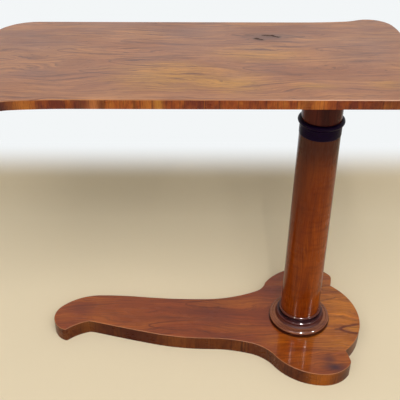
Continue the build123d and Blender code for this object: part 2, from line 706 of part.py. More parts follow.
# Bearer under the length of the top, tapered towards its long end and halved over the cross bearer
bearer_middle = top_underside - bearer_depth / 2
long_tip_underside = top_underside - bearer_tip_depth
bearer_seat = top_underside - bearer_screw_seat
bearer_screw_hole = screw_hole(bearer_screw_length, bearer_screw_radius, bearer_screw_head_radius)
long_screw_shares = ((-0.90, 0), (-0.70, 0.26), (-0.70, -0.26), (-0.45, 0.26), (-0.45, -0.26),
                     (-0.20, 0.26), (-0.20, -0.26), (0.164, 0.26), (0.164, -0.26))
long_screw_points = [(x * bearer_left_length, y * bearer_width) for x, y in long_screw_shares]
cross_screw_shares = ((0.26, 0.76), (-0.26, 0.76), (0.26, -0.76), (-0.26, -0.76))
cross_screw_points = [(x * bearer_width, y * cross_bearer_half_length) for x, y in cross_screw_shares]
with BuildPart() as long_bearer:
    with BuildSketch(Plane.XZ.offset(-bearer_width / 2)):
        Polygon((-bearer_left_length, top_underside), (-bearer_left_length, long_tip_underside),
                (-bearer_level_length, bearer_underside), (bearer_right_length, bearer_underside),
                (bearer_right_length, top_underside), align=None)
    extrude(amount=bearer_width)
    lower_edges = long_bearer.edges().filter_by(Plane.XZ).filter_by(Axis.Z, reverse=True)
    lower_edges = lower_edges.filter_by_position(Axis.Z, bearer_underside, long_tip_underside)
    chamfer(lower_edges, bearer_chamfer_width)
    with BuildSketch(Plane.XY.offset(bearer_middle)):
        Rectangle(bearer_width, bearer_width + overrun)
    extrude(amount=bearer_depth, mode=Mode.SUBTRACT)
    with BuildSketch(Plane.XY.offset(bearer_underside - overrun)):
        Rectangle(post_tenon_width + 2 * fit_gap, post_tenon_width + 2 * fit_gap)
    extrude(amount=bearer_depth + 2 * overrun, mode=Mode.SUBTRACT)
    for point in long_screw_points:
        seat = Plane(origin=(*point, bearer_seat), z_dir=(0, 0, -1))
        add(bearer_screw_hole.moved(seat.location), mode=Mode.SUBTRACT)
        with BuildSketch(Plane.XY.offset(bearer_seat)):
            with Locations(point):
                Circle(bearer_screw_head_radius + counterbore_margin)
        extrude(amount=-bearer_depth, mode=Mode.SUBTRACT)
long_bearer.part.label = "long_bearer"
export_step(long_bearer.part, "parts/long_bearer.step")

# Bearer across the top over the column, halved over the long one and thinned towards both ends
cross_tip_underside = top_underside - cross_bearer_tip_depth
with BuildPart() as cross_bearer:
    with BuildSketch(Plane.YZ.offset(-bearer_width / 2)):
        Polygon((-cross_bearer_half_length, top_underside),
                (-cross_bearer_half_length, cross_tip_underside),
                (-cross_bearer_level_length, bearer_underside),
                (cross_bearer_level_length, bearer_underside),
                (cross_bearer_half_length, cross_tip_underside),
                (cross_bearer_half_length, top_underside), align=None)
    extrude(amount=bearer_width)
    lower_edges = cross_bearer.edges().filter_by(Plane.YZ).filter_by(Axis.Z, reverse=True)
    lower_edges = lower_edges.filter_by_position(Axis.Z, bearer_underside, cross_tip_underside)
    chamfer(lower_edges, bearer_chamfer_width)
    with BuildSketch(Plane.XY.offset(bearer_middle)):
        Rectangle(bearer_width + overrun, bearer_width)
    extrude(amount=-bearer_depth, mode=Mode.SUBTRACT)
    with BuildSketch(Plane.XY.offset(bearer_underside - overrun)):
        Rectangle(post_tenon_width + 2 * fit_gap, post_tenon_width + 2 * fit_gap)
    extrude(amount=bearer_depth + 2 * overrun, mode=Mode.SUBTRACT)
    for point in cross_screw_points:
        seat = Plane(origin=(*point, bearer_seat), z_dir=(0, 0, -1))
        add(bearer_screw_hole.moved(seat.location), mode=Mode.SUBTRACT)
        with BuildSketch(Plane.XY.offset(bearer_seat)):
            with Locations(point):
                Circle(bearer_screw_head_radius + counterbore_margin)
        extrude(amount=-bearer_depth, mode=Mode.SUBTRACT)
cross_bearer.part.label = "cross_bearer"
export_step(cross_bearer.part, "parts/cross_bearer.step")

# Wedges driven into the kerfs of the post's tenon
with BuildPart() as tenon_wedges:
    with BuildSketch(Plane.XZ.offset(-post_tenon_width / 2)):
        for side in (1, -1):
            with Locations((side * wedge_spacing / 2, 0)):
                Polygon(*wedge_section, align=None)
    extrude(amount=post_tenon_width)
tenon_wedges.part.label = "tenon_wedges"
export_step(tenon_wedges.part, "parts/tenon_wedges.step")

# Screws that hold the bearers to the top
bearer_screw = wood_screw(bearer_screw_length, bearer_screw_radius, bearer_screw_head_radius)
with BuildPart() as bearer_screws:
    for point in long_screw_points + cross_screw_points:
        add(bearer_screw.moved(Plane(origin=(*point, bearer_seat), z_dir=(0, 0, -1)).location))
bearer_screws.part.label = "bearer_screws"
export_step(bearer_screws.part, "parts/bearer_screws.step")

# Core of the top, with blind holes for the screws
top_core_face = tabletop - face_veneer_thickness
with BuildPart() as top_core:
    with BuildSketch(Plane.XY.offset(top_underside)):
        add(top_outline(edge_veneer_thickness))
    extrude(amount=top_thickness - face_veneer_thickness)
    for point in long_screw_points + cross_screw_points:
        seat = Plane(origin=(*point, bearer_seat), z_dir=(0, 0, -1))
        add(bearer_screw_hole.moved(seat.location), mode=Mode.SUBTRACT)
top_core.part.label = "top_core"
export_step(top_core.part, "parts/top_core.step")

# Veneer on the upper face of the top
with BuildPart() as top_face_veneer:
    add(veneer_sheet(top_outline(0), top_core_face))
top_face_veneer.part.label = "top_face_veneer"
export_step(top_face_veneer.part, "parts/top_face_veneer.step")

# Crossbanding laid round the edge of the top
with BuildPart() as top_edge_veneer:
    with BuildSketch(Plane.XY.offset(top_underside)):
        add(top_outline(0))
        add(top_outline(edge_veneer_thickness), mode=Mode.SUBTRACT)
    extrude(amount=top_thickness - face_veneer_thickness)
top_edge_veneer.part.label = "top_edge_veneer"
export_step(top_edge_veneer.part, "parts/top_edge_veneer.step")
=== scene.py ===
import math

import bmesh
import bpy
import numpy as np
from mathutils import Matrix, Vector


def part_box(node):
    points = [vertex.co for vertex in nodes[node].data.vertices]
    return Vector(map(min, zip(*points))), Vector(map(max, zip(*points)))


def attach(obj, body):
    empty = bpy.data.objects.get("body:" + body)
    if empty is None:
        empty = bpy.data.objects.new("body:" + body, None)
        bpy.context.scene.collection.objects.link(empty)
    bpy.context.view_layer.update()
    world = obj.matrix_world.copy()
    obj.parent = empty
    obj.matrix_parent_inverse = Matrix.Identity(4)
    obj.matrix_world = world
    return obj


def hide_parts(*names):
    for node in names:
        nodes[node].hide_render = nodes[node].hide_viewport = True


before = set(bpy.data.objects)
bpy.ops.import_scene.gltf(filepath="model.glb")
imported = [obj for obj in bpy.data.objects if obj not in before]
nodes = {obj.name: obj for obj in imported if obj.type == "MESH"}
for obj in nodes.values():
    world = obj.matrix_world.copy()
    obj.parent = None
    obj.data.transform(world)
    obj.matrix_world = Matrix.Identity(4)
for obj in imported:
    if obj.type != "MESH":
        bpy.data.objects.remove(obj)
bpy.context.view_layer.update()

# Camera
# A 60 mm lens over a 36 mm wide picture, held 1.3 m above the floor in front of the table's long
# side and tipped down by 34 degrees.
camera_data = bpy.data.cameras.new("camera")
camera_data.sensor_fit = "HORIZONTAL"
camera_data.sensor_width = 36.0
camera_data.lens = 60.34
camera = bpy.data.objects.new("camera", camera_data)
camera.location = (-0.2629, -1.2985, 1.301)
camera.rotation_mode = "ZYX"
camera.rotation_euler = (math.radians(55.65), 0, 0.0026)
bpy.context.scene.collection.objects.link(camera)
bpy.context.scene.camera = camera
bpy.context.scene.view_settings.view_transform = "Standard"

# Studio
# A pale floor that sweeps up into a pale backdrop, a broad soft lamp and three tube lamps, and
# three small lamps that only glint in the polish. None of it belongs to the table.
FLOOR_FRONT, FLOOR_BACK, HALF_SPREAD = -6.0, 6.0, 6.0
SWEEP_FOOT, SWEEP_RADIUS, BACKDROP_TOP = 0.5, 0.25, 3.4
FAR_FLOOR_LEVEL = -0.0005
# The levels between which the floor's colour passes into the backdrop's.
BACKDROP_FROM, BACKDROP_FULL = 0.05, 0.15


def screen_color(red, green, blue):
    """The linear colour that shows on a screen as these values from 0 to 255."""
    shares = np.array((red, green, blue)) / 255
    linear = np.where(shares <= 0.04045, shares / 12.92, ((shares + 0.055) / 1.055) ** 2.4)
    return (*map(float, linear), 1.0)


def stack_points(*coordinates):
    """A grid of points from coordinates that broadcast to one grid."""
    return np.stack(np.broadcast_arrays(*coordinates), axis=-1)


def grid_mesh(name, points, close_columns=False):
    """A mesh over a grid of points (rows, columns, 3): each four neighbours bound one face, and
    closed columns join the last column of points to the first."""
    rows, columns = points.shape[:2]
    number = np.arange(rows * columns).reshape(rows, columns)
    if close_columns:
        number = np.hstack((number, number[:, :1]))
    faces = np.stack((number[:-1, :-1], number[1:, :-1], number[1:, 1:], number[:-1, 1:]), axis=-1)
    mesh = bpy.data.meshes.new(name)
    mesh.from_pydata(points.reshape(-1, 3).tolist(), [], faces.reshape(-1, 4).tolist())
    mesh.update()
    return mesh


def add_object(name, mesh, material):
    """Puts a mesh into the scene, at the origin, with one material."""
    mesh.materials.append(material)
    thing = bpy.data.objects.new(name, mesh)
    bpy.context.scene.collection.objects.link(thing)
    return thing


def add_node(tree, kind, inputs=None, **settings):
    """Adds a shader node; inputs maps a socket's name or number to a value or a feeding socket."""
    node = tree.nodes.new("ShaderNode" + kind)
    for name, value in settings.items():
        setattr(node, name, value)
    for place, value in (inputs or {}).items():
        if isinstance(value, bpy.types.NodeSocket):
            tree.links.new(value, node.inputs[place])
        else:
            node.inputs[place].default_value = value
    return node


def new_material(name):
    """An empty node material: returns it, its tree and its output node's surface socket."""
    material = bpy.data.materials.new(name)
    material.use_nodes = True
    material.node_tree.nodes.clear()
    output = material.node_tree.nodes.new("ShaderNodeOutputMaterial")
    return material, material.node_tree, output.inputs["Surface"]


def calculate(tree, operation, *values):
    """One step of arithmetic on numbers or sockets."""
    return add_node(tree, "Math", dict(enumerate(values)), operation=operation).outputs[0]


def axes_of(tree, vector):
    """A vector's X, Y and Z sockets, by name."""
    return add_node(tree, "SeparateXYZ", {0: vector}).outputs


def spread(tree, value, low, high, smooth=True):
    """Carries a value to 0 at low and 1 at high, held at both ends."""
    kind = "SMOOTHSTEP" if smooth else "LINEAR"
    return add_node(tree, "MapRange", {"Value": value, "From Min": low, "From Max": high},
                    interpolation_type=kind).outputs[0]


def add_paint(tree, color):
    """A matt paint."""
    return add_node(tree, "BsdfDiffuse", {"Color": color, "Roughness": 1.0}).outputs[0]


def mix_shaders(tree, share, first, second):
    """Mixes two shaders; a share of 0 gives the first."""
    return add_node(tree, "MixShader", {0: share, 1: first, 2: second}).outputs[0]


def seen_rays(tree):
    """1 on rays that show a surface itself, in a polish and through glass too, 0 on rays that
    only carry its light to another."""
    rays = add_node(tree, "LightPath").outputs
    bent = calculate(tree, "MAXIMUM", rays["Is Glossy Ray"], rays["Is Transmission Ray"])
    return calculate(tree, "MAXIMUM", rays["Is Camera Ray"], bent)


# The sweep is a quarter circle: it goes back by the sine of its turn and up by one less the cosine.
turn = np.linspace(0, math.pi / 2, 25)
sweep_y = SWEEP_FOOT + SWEEP_RADIUS * np.sin(turn)
sweep_z = SWEEP_RADIUS * (1 - np.cos(turn))
floor_sides = np.array((-HALF_SPREAD, HALF_SPREAD))[:, None]
floor_y = np.concatenate(([FLOOR_FRONT], sweep_y, [SWEEP_FOOT + SWEEP_RADIUS]))
floor_z = np.concatenate(([0.0], sweep_z, [BACKDROP_TOP]))
floor_mesh = grid_mesh("studio_floor", stack_points(floor_sides, floor_y, floor_z))

FLOOR_COLOR = screen_color(226, 215, 190)
floor_material, tree, surface = new_material("studio_floor")
backdrop_paint = add_paint(tree, screen_color(236, 236, 232))
backdrop_glow = add_node(tree, "Emission", {"Color": screen_color(243, 246, 247), "Strength": 1.0})
backdrop = mix_shaders(tree, seen_rays(tree), backdrop_paint, backdrop_glow.outputs[0])
level = axes_of(tree, add_node(tree, "TexCoord").outputs["Object"])["Z"]
raised = spread(tree, level, BACKDROP_FROM, BACKDROP_FULL)
two_tone = mix_shaders(tree, raised, add_paint(tree, FLOOR_COLOR), backdrop)
behind = add_node(tree, "NewGeometry").outputs["Backfacing"]
clear = add_node(tree, "BsdfTransparent").outputs[0]
tree.links.new(mix_shaders(tree, behind, two_tone, clear), surface)
floor = add_object("studio_floor", floor_mesh, floor_material)
floor.data.shade_smooth()
floor.visible_shadow = False

# Seen from behind, the backdrop is clear and the floor carries on past it.
far_points = stack_points(floor_sides, np.array((SWEEP_FOOT, FLOOR_BACK)), FAR_FLOOR_LEVEL)
far_material, tree, surface = new_material("far_floor")
tree.links.new(add_paint(tree, FLOOR_COLOR), surface)
far_floor = add_object("far_floor", grid_mesh("far_floor", far_points), far_material)

world = bpy.data.worlds.new("studio_air")
bpy.context.scene.world = world
world.use_nodes = True
tree = world.node_tree
tree.nodes.clear()
soft_light = add_node(tree, "Background", {"Color": (1.0, 0.98, 0.95, 1), "Strength": 0.45})
pale_room = add_node(tree, "Background", {"Color": screen_color(208, 205, 199), "Strength": 1.0})
room = mix_shaders(tree, seen_rays(tree), soft_light.outputs[0], pale_room.outputs[0])
tree.links.new(room, tree.nodes.new("ShaderNodeOutputWorld").inputs["Surface"])


def add_lamp(name, place, aim, width, length, power):
    """A rectangular lamp at a place, turned to face a point, its length lying along the view."""
    data = bpy.data.lights.new(name, "AREA")
    data.shape = "RECTANGLE"
    data.size, data.size_y, data.energy = width, length, power
    data.color = (1.0, 0.97, 0.93)
    lamp = bpy.data.objects.new(name, data)
    lamp.location = place
    heading = np.array(aim) - np.array(place)
    lamp.rotation_euler = (math.atan2(math.hypot(heading[0], heading[1]), -heading[2]), 0,
                           math.atan2(-heading[0], heading[1]))
    bpy.context.scene.collection.objects.link(lamp)
    return lamp


add_lamp("broad_lamp", (-0.1, -1.7, 2.7), (-0.2, 0, 0.5), width=1.6, length=1.0, power=35)
for tube_x in (-1.95, 0.0, 1.5):
    tube = add_lamp("tube_lamp", (tube_x, -2.0, 2.4), (tube_x, -1.99, 0.0), width=0.07,
                    length=2.4, power=13)
    tube.visible_glossy = False
# Each glint lamp's place, width, length and power, and the CAD nodes that it lights. All three
# light the ring round the column's foot too, which is added to what they light where it is made.
LONG_GLOSS = ("base_face_veneer", "column_veneer")
ring_lights = []
for place, width, length, power, lit_nodes in (
        ((-1.45, -2.15, 2.65), 0.06, 0.75, 250, LONG_GLOSS),
        ((2.10, -1.50, 2.65), 0.06, 0.75, 250, LONG_GLOSS),
        ((0.24, -1.30, 2.3), 0.35, 0.3, 330, ())):
    glint = add_lamp("glint_lamp", place, (0, 0, 0.1), width, length, power)
    glint.visible_diffuse = False
    ring_lights.append(bpy.data.collections.new("lit_pieces"))
    glint.light_linking.receiver_collection = ring_lights[-1]
    for name in lit_nodes:
        ring_lights[-1].objects.link(nodes[name])

# Core of the floor frame
# Thick mahogany boards glued up and sawn to a scrolled plan. Only the planed underside shows, and
# the same plain wood is used for the core of the top and the inside of the column.


def start_group(name, inputs, outputs):
    """A new node group: returns it with its input sockets and output sockets by name."""
    tree = bpy.data.node_groups.new(name, "ShaderNodeTree")
    for direction, sockets in (("INPUT", inputs), ("OUTPUT", outputs)):
        for label, kind in sockets.items():
            tree.interface.new_socket(name=label, in_out=direction, socket_type="NodeSocket" + kind)
    return tree, tree.nodes.new("NodeGroupInput").outputs, tree.nodes.new("NodeGroupOutput").inputs


def add_group(tree, group, inputs):
    """Places a node group in a tree: returns its output sockets by name."""
    return add_node(tree, "Group", inputs, node_tree=group).outputs


def vector_step(tree, operation, *values):
    """One step of vector arithmetic on vectors or sockets."""
    return add_node(tree, "VectorMath", dict(enumerate(values)), operation=operation).outputs[0]


def join_axes(tree, **axes):
    """A vector from its X, Y and Z; one that isn't given is 0."""
    return add_node(tree, "CombineXYZ", axes).outputs[0]


def noise(tree, place, scale, detail, roughness):
    """The grey value of a noise pattern at a place."""
    return add_node(tree, "TexNoise", {"Vector": place, "Scale": scale, "Detail": detail,
                                       "Roughness": roughness}).outputs["Fac"]


def stretched_noise(tree, place, waves, detail, roughness, scale=1.0):
    """Noise with its own number of waves per metre along each axis."""
    return noise(tree, vector_step(tree, "MULTIPLY", place, waves), scale, detail, roughness)


def tint(tree, color, mask, strength, other):
    """Carries a colour towards another by a mask times a strength."""
    amount = calculate(tree, "MULTIPLY", mask, strength)
    mixed = add_node(tree, "Mix", {0: amount, 6: color, 7: (*other, 1)}, data_type="RGBA")
    return mixed.outputs[2]


def color_run(tree, amount, stops):
    """A run of colours from a value: stops are (place from 0 to 1, colour) in rising order."""
    node = add_node(tree, "ValToRGB", {0: amount})
    ramp = node.color_ramp
    ramp.elements[0].position, ramp.elements[0].color = stops[0][0], (*stops[0][1], 1)
    ramp.elements[1].position, ramp.elements[1].color = stops[-1][0], (*stops[-1][1], 1)
    for position, color in stops[1:-1]:
        ramp.elements.new(position).color = (*color, 1)
    return node.outputs[0]


# The figure of sawn wood, with x along the grain, y across it and z through it. The level of the
# growth is the place across the grain plus a slow wander, so lines of equal level run along the
# board and turn back in tongues where the wander is steep. Broad is the slow change of colour,
# Lines the dark growth lines, Streak the fine threads between them and Pores the open vessels.
# Rings and Fibre count waves per metre, and Wander is a width in metres. The ratios are of the
# quick wander to the slow, the mean of the two together, the tilt of the growth through the board,
# how drawn out the fibres are, and how much finer than they the vessels are.
QUICK_SHARE, MEAN_WANDER, GROWTH_TILT, FIBRE_DRAW, VESSEL_FINENESS = 0.16, 0.58, 0.6, 0.03, 2.3
figure, f_in, f_out = start_group(
    "wood_figure", {"Vector": "Vector", "Rings": "Float", "Wander": "Float", "Fibre": "Float"},
    {"Broad": "Float", "Lines": "Float", "Streak": "Float", "Pores": "Float"})
axes, fibre_waves = axes_of(figure, f_in["Vector"]), f_in["Fibre"]
slow = stretched_noise(figure, f_in["Vector"], (2.2, 7.0, 7.0), 2.0, 0.5)
quick = stretched_noise(figure, f_in["Vector"], (9.0, 34.0, 34.0), 3.0, 0.6)
both = calculate(figure, "MULTIPLY_ADD", quick, QUICK_SHARE, slow)
centred = calculate(figure, "SUBTRACT", both, MEAN_WANDER)
drift = calculate(figure, "MULTIPLY", centred, f_in["Wander"])
growth = calculate(figure, "MULTIPLY_ADD", axes["Z"], GROWTH_TILT,
                   calculate(figure, "ADD", axes["Y"], drift))
sawn_place = join_axes(figure, X=axes["X"], Y=growth)
broad = stretched_noise(figure, sawn_place, (2.5, 14.0, 0.0), 3.0, 0.55)
rings = stretched_noise(figure, sawn_place, (0.022, 1.0, 0.0), 4.0, 0.62, f_in["Rings"])
fibre_x = calculate(figure, "MULTIPLY", axes["X"], FIBRE_DRAW)
fibre_place = join_axes(figure, X=fibre_x, Y=growth, Z=axes["Z"])
threads = noise(figure, fibre_place, fibre_waves, 3.0, 0.62)
vessels = stretched_noise(figure, fibre_place, (2.2, 1.0, 1.0), 1.0, 0.5,
                          calculate(figure, "MULTIPLY", fibre_waves, VESSEL_FINENESS))
figure.links.new(broad, f_out["Broad"])
figure.links.new(spread(figure, rings, 0.50, 0.72), f_out["Lines"])
figure.links.new(spread(figure, threads, 0.32, 0.68, smooth=False), f_out["Streak"])
figure.links.new(spread(figure, vessels, 0.62, 0.74), f_out["Pores"])

# Rubbed polish: broad dull patches and fine wiping marks add to the roughness of the clean polish.
polish, p_in, p_out = start_group(
    "rubbed_polish", {"Vector": "Vector", "Clean": "Float", "Worn": "Float"},
    {"Roughness": "Float"})
patches = noise(polish, p_in["Vector"], 7.0, 4.0, 0.6)
wipes = stretched_noise(polish, p_in["Vector"], (8.0, 60.0, 60.0), 3.0, 0.6, scale=4.0)
wear = spread(polish, calculate(polish, "MULTIPLY_ADD", wipes, 0.35, patches), 0.45, 0.9)
polish.links.new(calculate(polish, "MULTIPLY_ADD", wear, p_in["Worn"], p_in["Clean"]),
                 p_out["Roughness"])


def object_place(tree, location=(0, 0, 0), rotation=(0, 0, 0)):
    """The place on the table in metres, moved or turned by a Mapping node."""
    return add_node(tree, "Mapping", {"Vector": add_node(tree, "TexCoord").outputs["Object"],
                                      "Location": location, "Rotation": rotation}).outputs[0]


def add_figure(tree, place, rings, wander, fibre):
    """The figure's four values at a place, by name."""
    return add_group(tree, figure, {"Vector": place, "Rings": rings, "Wander": wander,
                                    "Fibre": fibre})


def add_polish(tree, place, clean, worn):
    """The roughness of a rubbed polish: what it has when clean, and what wear adds at most."""
    inputs = {"Vector": place, "Clean": clean, "Worn": worn}
    return add_group(tree, polish, inputs)["Roughness"]


def finish_wood(tree, surface, color, roughness, height, relief, specular, coat=0.0):
    """Wood through one Principled shader: colour, gloss, a relief in metres of its pores, and
    where it is French polished a thin clear coat, whose weight is a number or a socket."""
    bump = add_node(tree, "Bump", {"Strength": 1.0, "Distance": relief, "Height": height})
    shader = add_node(tree, "BsdfPrincipled", {
        "Base Color": color, "Roughness": roughness, "Normal": bump.outputs[0],
        "Specular IOR Level": specular, "Coat Weight": coat, "Coat Roughness": 0.04})
    tree.links.new(shader.outputs[0], surface)


def assign(material, *names):
    """Gives CAD nodes a material in place of the one they came with."""
    for name in names:
        slots = nodes[name].data.materials
        slots.clear()
        slots.append(material)


carcase, tree, surface = new_material("carcase_wood")
place = object_place(tree)
lines = add_figure(tree, place, rings=90.0, wander=0.10, fibre=420.0)
color = color_run(tree, lines["Broad"], ((0.3, (0.23, 0.115, 0.055)), (0.7, (0.42, 0.23, 0.12))))
color = tint(tree, color, lines["Lines"], 0.35, (0.17, 0.075, 0.034))
color = tint(tree, color, lines["Streak"], 0.30, (0.15, 0.070, 0.032))
color = tint(tree, color, lines["Pores"], 0.6, (0.06, 0.028, 0.015))
finish_wood(tree, surface, color, add_polish(tree, place, clean=0.55, worn=0.2),
            lines["Streak"], relief=-0.0001, specular=0.4)
assign(carcase, "base_core", "top_core", "column_half_front", "column_half_back", "column_plug")

# Veneer on the floor frame's upper face
# One sheet of figured rosewood glued to the core with its grain along the tongue, and French
# polished. Its arris is rubbed dull and painted pale, partly for wear and partly as a highlight,
# and an old ink stain has sunk into the near ear.


def flatten(tree, place):
    """The place in plan, its height taken as 0."""
    return vector_step(tree, "MULTIPLY", place, (1.0, 1.0, 0.0))


def dot_product(tree, first, second):
    """The dot product of two vectors."""
    return add_node(tree, "VectorMath", {0: first, 1: second},
                    operation="DOT_PRODUCT").outputs["Value"]


def vector_length(tree, vector):
    """The length of a vector."""
    return add_node(tree, "VectorMath", {0: vector}, operation="LENGTH").outputs["Value"]


# A dark vein: 1 within a width of the line from start to end, with a ragged rim. The nearest place
# on the line is its run times the dot product of run and place over the run's own square.
vein, v_in, v_out = start_group(
    "dark_vein", {"Vector": "Vector", "Start": "Vector", "End": "Vector", "Width": "Float"},
    {"Mask": "Float"})
flat_place = flatten(vein, v_in["Vector"])
run = vector_step(vein, "SUBTRACT", v_in["End"], v_in["Start"])
out = vector_step(vein, "SUBTRACT", flat_place, v_in["Start"])
share = calculate(vein, "DIVIDE", dot_product(vein, out, run), dot_product(vein, run, run))
share = add_node(vein, "Clamp", {"Value": share}).outputs[0]
along = add_node(vein, "VectorMath", {0: run, "Scale": share}, operation="SCALE").outputs[0]
gap = vector_length(vein, vector_step(vein, "SUBTRACT", out, along))
widths = calculate(vein, "DIVIDE", gap, v_in["Width"])
ragged = stretched_noise(vein, flat_place, (1.0, 4.0, 0.0), 3.0, 0.65, scale=90.0)
rough_gap = calculate(vein, "MULTIPLY_ADD", ragged, 2.6, widths)
vein.links.new(spread(vein, rough_gap, 2.5, 1.2), v_out["Mask"])

# A tongue of grain: a line that comes along the board, turns round a tip and goes back. With u and
# v the place from the tip over the tongue's length and half width, it is where v squared equals u,
# and that difference over its slope is the distance from the line.
tongue, t_in, t_out = start_group(
    "grain_tongue", {"Vector": "Vector", "Tip": "Vector", "Reach": "Vector", "Width": "Float"},
    {"Mask": "Float"})
flat_place = flatten(tongue, t_in["Vector"])
from_tip = vector_step(tongue, "SUBTRACT", flat_place, t_in["Tip"])
axes = axes_of(tongue, vector_step(tongue, "DIVIDE", from_tip, t_in["Reach"]))
reach = axes_of(tongue, t_in["Reach"])
miss = calculate(tongue, "SUBTRACT", calculate(tongue, "MULTIPLY", axes["Y"], axes["Y"]),
                 axes["X"])
slope_x = calculate(tongue, "DIVIDE", 1.0, reach["X"])
slope_y = calculate(tongue, "DIVIDE", calculate(tongue, "MULTIPLY", axes["Y"], 2.0), reach["Y"])
slope_squared = calculate(tongue, "MULTIPLY_ADD", slope_x, slope_x,
                          calculate(tongue, "MULTIPLY", slope_y, slope_y))
gap = calculate(tongue, "DIVIDE", calculate(tongue, "ABSOLUTE", miss),
                calculate(tongue, "SQRT", slope_squared))
ragged = stretched_noise(tongue, flat_place, (1.0, 3.0, 0.0), 3.0, 0.6, scale=45.0)
widths = calculate(tongue, "MULTIPLY_ADD", ragged, 1.6,
                   calculate(tongue, "DIVIDE", gap, t_in["Width"]))
near_tip = calculate(tongue, "MULTIPLY", spread(tongue, widths, 2.0, 0.8),
                     spread(tongue, axes["X"], 1.1, 0.5))
tongue.links.new(near_tip, t_out["Mask"])

# A zone of other colour: 1 at its centre, falling to 0 at its reach, with a streaked rim.
zone, z_in, z_out = start_group(
    "color_zone", {"Vector": "Vector", "Centre": "Vector", "Reach": "Vector"}, {"Mask": "Float"})
from_centre = vector_step(zone, "SUBTRACT", z_in["Vector"], z_in["Centre"])
distance = vector_length(zone, vector_step(zone, "DIVIDE", from_centre, z_in["Reach"]))
streaked = stretched_noise(zone, z_in["Vector"], (1.0, 4.0, 4.0), 4.0, 0.6, scale=9.0)
rim = calculate(zone, "MULTIPLY_ADD", streaked, 1.1, distance)
zone.links.new(spread(zone, rim, 1.65, 0.45), z_out["Mask"])

# Arris mask, for rubbed polish and a painted highlight: 1 on faces that slope between level and
# upright, 0 on level and upright ones.
arris, a_in, a_out = start_group("arris_rub_and_highlight", {"Normal": "Vector"}, {"Mask": "Float"})
slope = calculate(arris, "ABSOLUTE", axes_of(arris, a_in["Normal"])["Z"])
arris.links.new(calculate(arris, "MULTIPLY", spread(arris, slope, 0.45, 0.6),
                          spread(arris, slope, 0.95, 0.8)), a_out["Mask"])


def add_arris(tree):
    """The mask of the arris, where polish is rubbed and a highlight is painted."""
    return add_group(tree, arris, {"Normal": add_node(tree, "TexCoord").outputs["Normal"]})["Mask"]


def add_zones(tree, color, place, zones):
    """Lays zones of other colour: each is (centre, reach, strength, colour), in plan metres."""
    for centre, reach, strength, other in zones:
        mask = add_group(tree, zone, {"Vector": place, "Centre": (*centre, 0),
                                      "Reach": (*reach, 9)})["Mask"]
        color = tint(tree, color, mask, strength, other)
    return color


def add_veins(tree, color, place, other, strength, veins):
    """Draws dark veins: each is (start, end, width) in plan metres."""
    for start, end, width in veins:
        mask = add_group(tree, vein, {"Vector": place, "Start": (*start, 0), "End": (*end, 0),
                                      "Width": width})["Mask"]
        color = tint(tree, color, mask, strength, other)
    return color


def add_tongues(tree, color, place, other, strength, tongues):
    """Draws tongues of grain: each is (tip, (length, half width), line width) in plan metres."""
    for tip, reach, width in tongues:
        mask = add_group(tree, tongue, {"Vector": place, "Tip": (*tip, 0), "Reach": (*reach, 1),
                                        "Width": width})["Mask"]
        color = tint(tree, color, mask, strength, other)
    return color


PURPLE_ROSEWOOD = (0.160, 0.028, 0.013)
base_veneer, tree, surface = new_material("base_veneer")
place = object_place(tree, location=(0, 0, 0.31))
lines = add_figure(tree, place, rings=115.0, wander=0.16, fibre=260.0)
color = color_run(tree, lines["Broad"], (
    (0.34, (0.200, 0.031, 0.005)), (0.50, (0.315, 0.061, 0.007)), (0.64, (0.435, 0.105, 0.010))))
color = add_zones(tree, color, place, (
    ((0.12, 0.01), (0.17, 0.25), 0.9, (0.62, 0.205, 0.013)),
    ((0.00, -0.16), (0.13, 0.06), 0.7, (0.42, 0.110, 0.012)),
    ((-0.58, 0.02), (0.06, 0.05), 0.6, PURPLE_ROSEWOOD),
    ((-0.23, 0.0), (0.10, 0.045), 0.6, PURPLE_ROSEWOOD),
    ((-0.07, 0.09), (0.06, 0.06), 0.6, PURPLE_ROSEWOOD),
    ((-0.20, -0.075), (0.06, 0.025), 0.5, PURPLE_ROSEWOOD),
    ((0.100, -0.046), (0.050, 0.026), 0.45, (0.260, 0.060, 0.020)),
    ((0.135, -0.046), (0.030, 0.014), 0.7, (0.70, 0.27, 0.03)),
    ((0.02, -0.121), (0.11, 0.008), 0.55, (0.110, 0.022, 0.012)),
    ((0.050, -0.150), (0.040, 0.020), 0.5, PURPLE_ROSEWOOD),
    ((-0.19, 0.046), (0.15, 0.032), 0.60, (0.480, 0.130, 0.008)),
    ((-0.175, -0.050), (0.13, 0.030), 0.5, (0.480, 0.125, 0.007)),
    ((-0.075, -0.090), (0.06, 0.040), 0.6, (0.500, 0.140, 0.006)),
    ((0.080, -0.100), (0.08, 0.030), 0.5, (0.68, 0.24, 0.02))))
color = tint(tree, color, lines["Lines"], 0.62, (0.110, 0.020, 0.005))
color = tint(tree, color, lines["Streak"], 0.62, (0.090, 0.015, 0.005))
color = add_veins(tree, color, place, (0.060, 0.014, 0.007), 0.7, (
    ((0.064, 0.058), (0.108, 0.071), 0.0030), ((0.108, 0.071), (0.134, 0.075), 0.0018),
    ((0.090, -0.0477), (0.104, -0.0475), 0.0040)))
color = add_tongues(tree, color, place, (0.110, 0.016, 0.002), 0.80, (
    ((0.104, -0.0475), (0.080, 0.024), 0.0050), ((0.106, -0.0475), (0.070, 0.019), 0.0040),
    ((-0.395, -0.036), (0.12, 0.020), 0.0030), ((-0.300, 0.045), (0.16, 0.022), 0.0030),
    ((0.060, 0.110), (0.10, 0.018), 0.0022)))
# The ink stain: a black middle and a brown run towards the column.
color = add_zones(tree, color, place, (
    ((0.070, -0.178), (0.042, 0.018), 0.95, (0.012, 0.008, 0.022)),
    ((0.060, -0.152), (0.020, 0.026), 0.55, (0.040, 0.014, 0.016))))
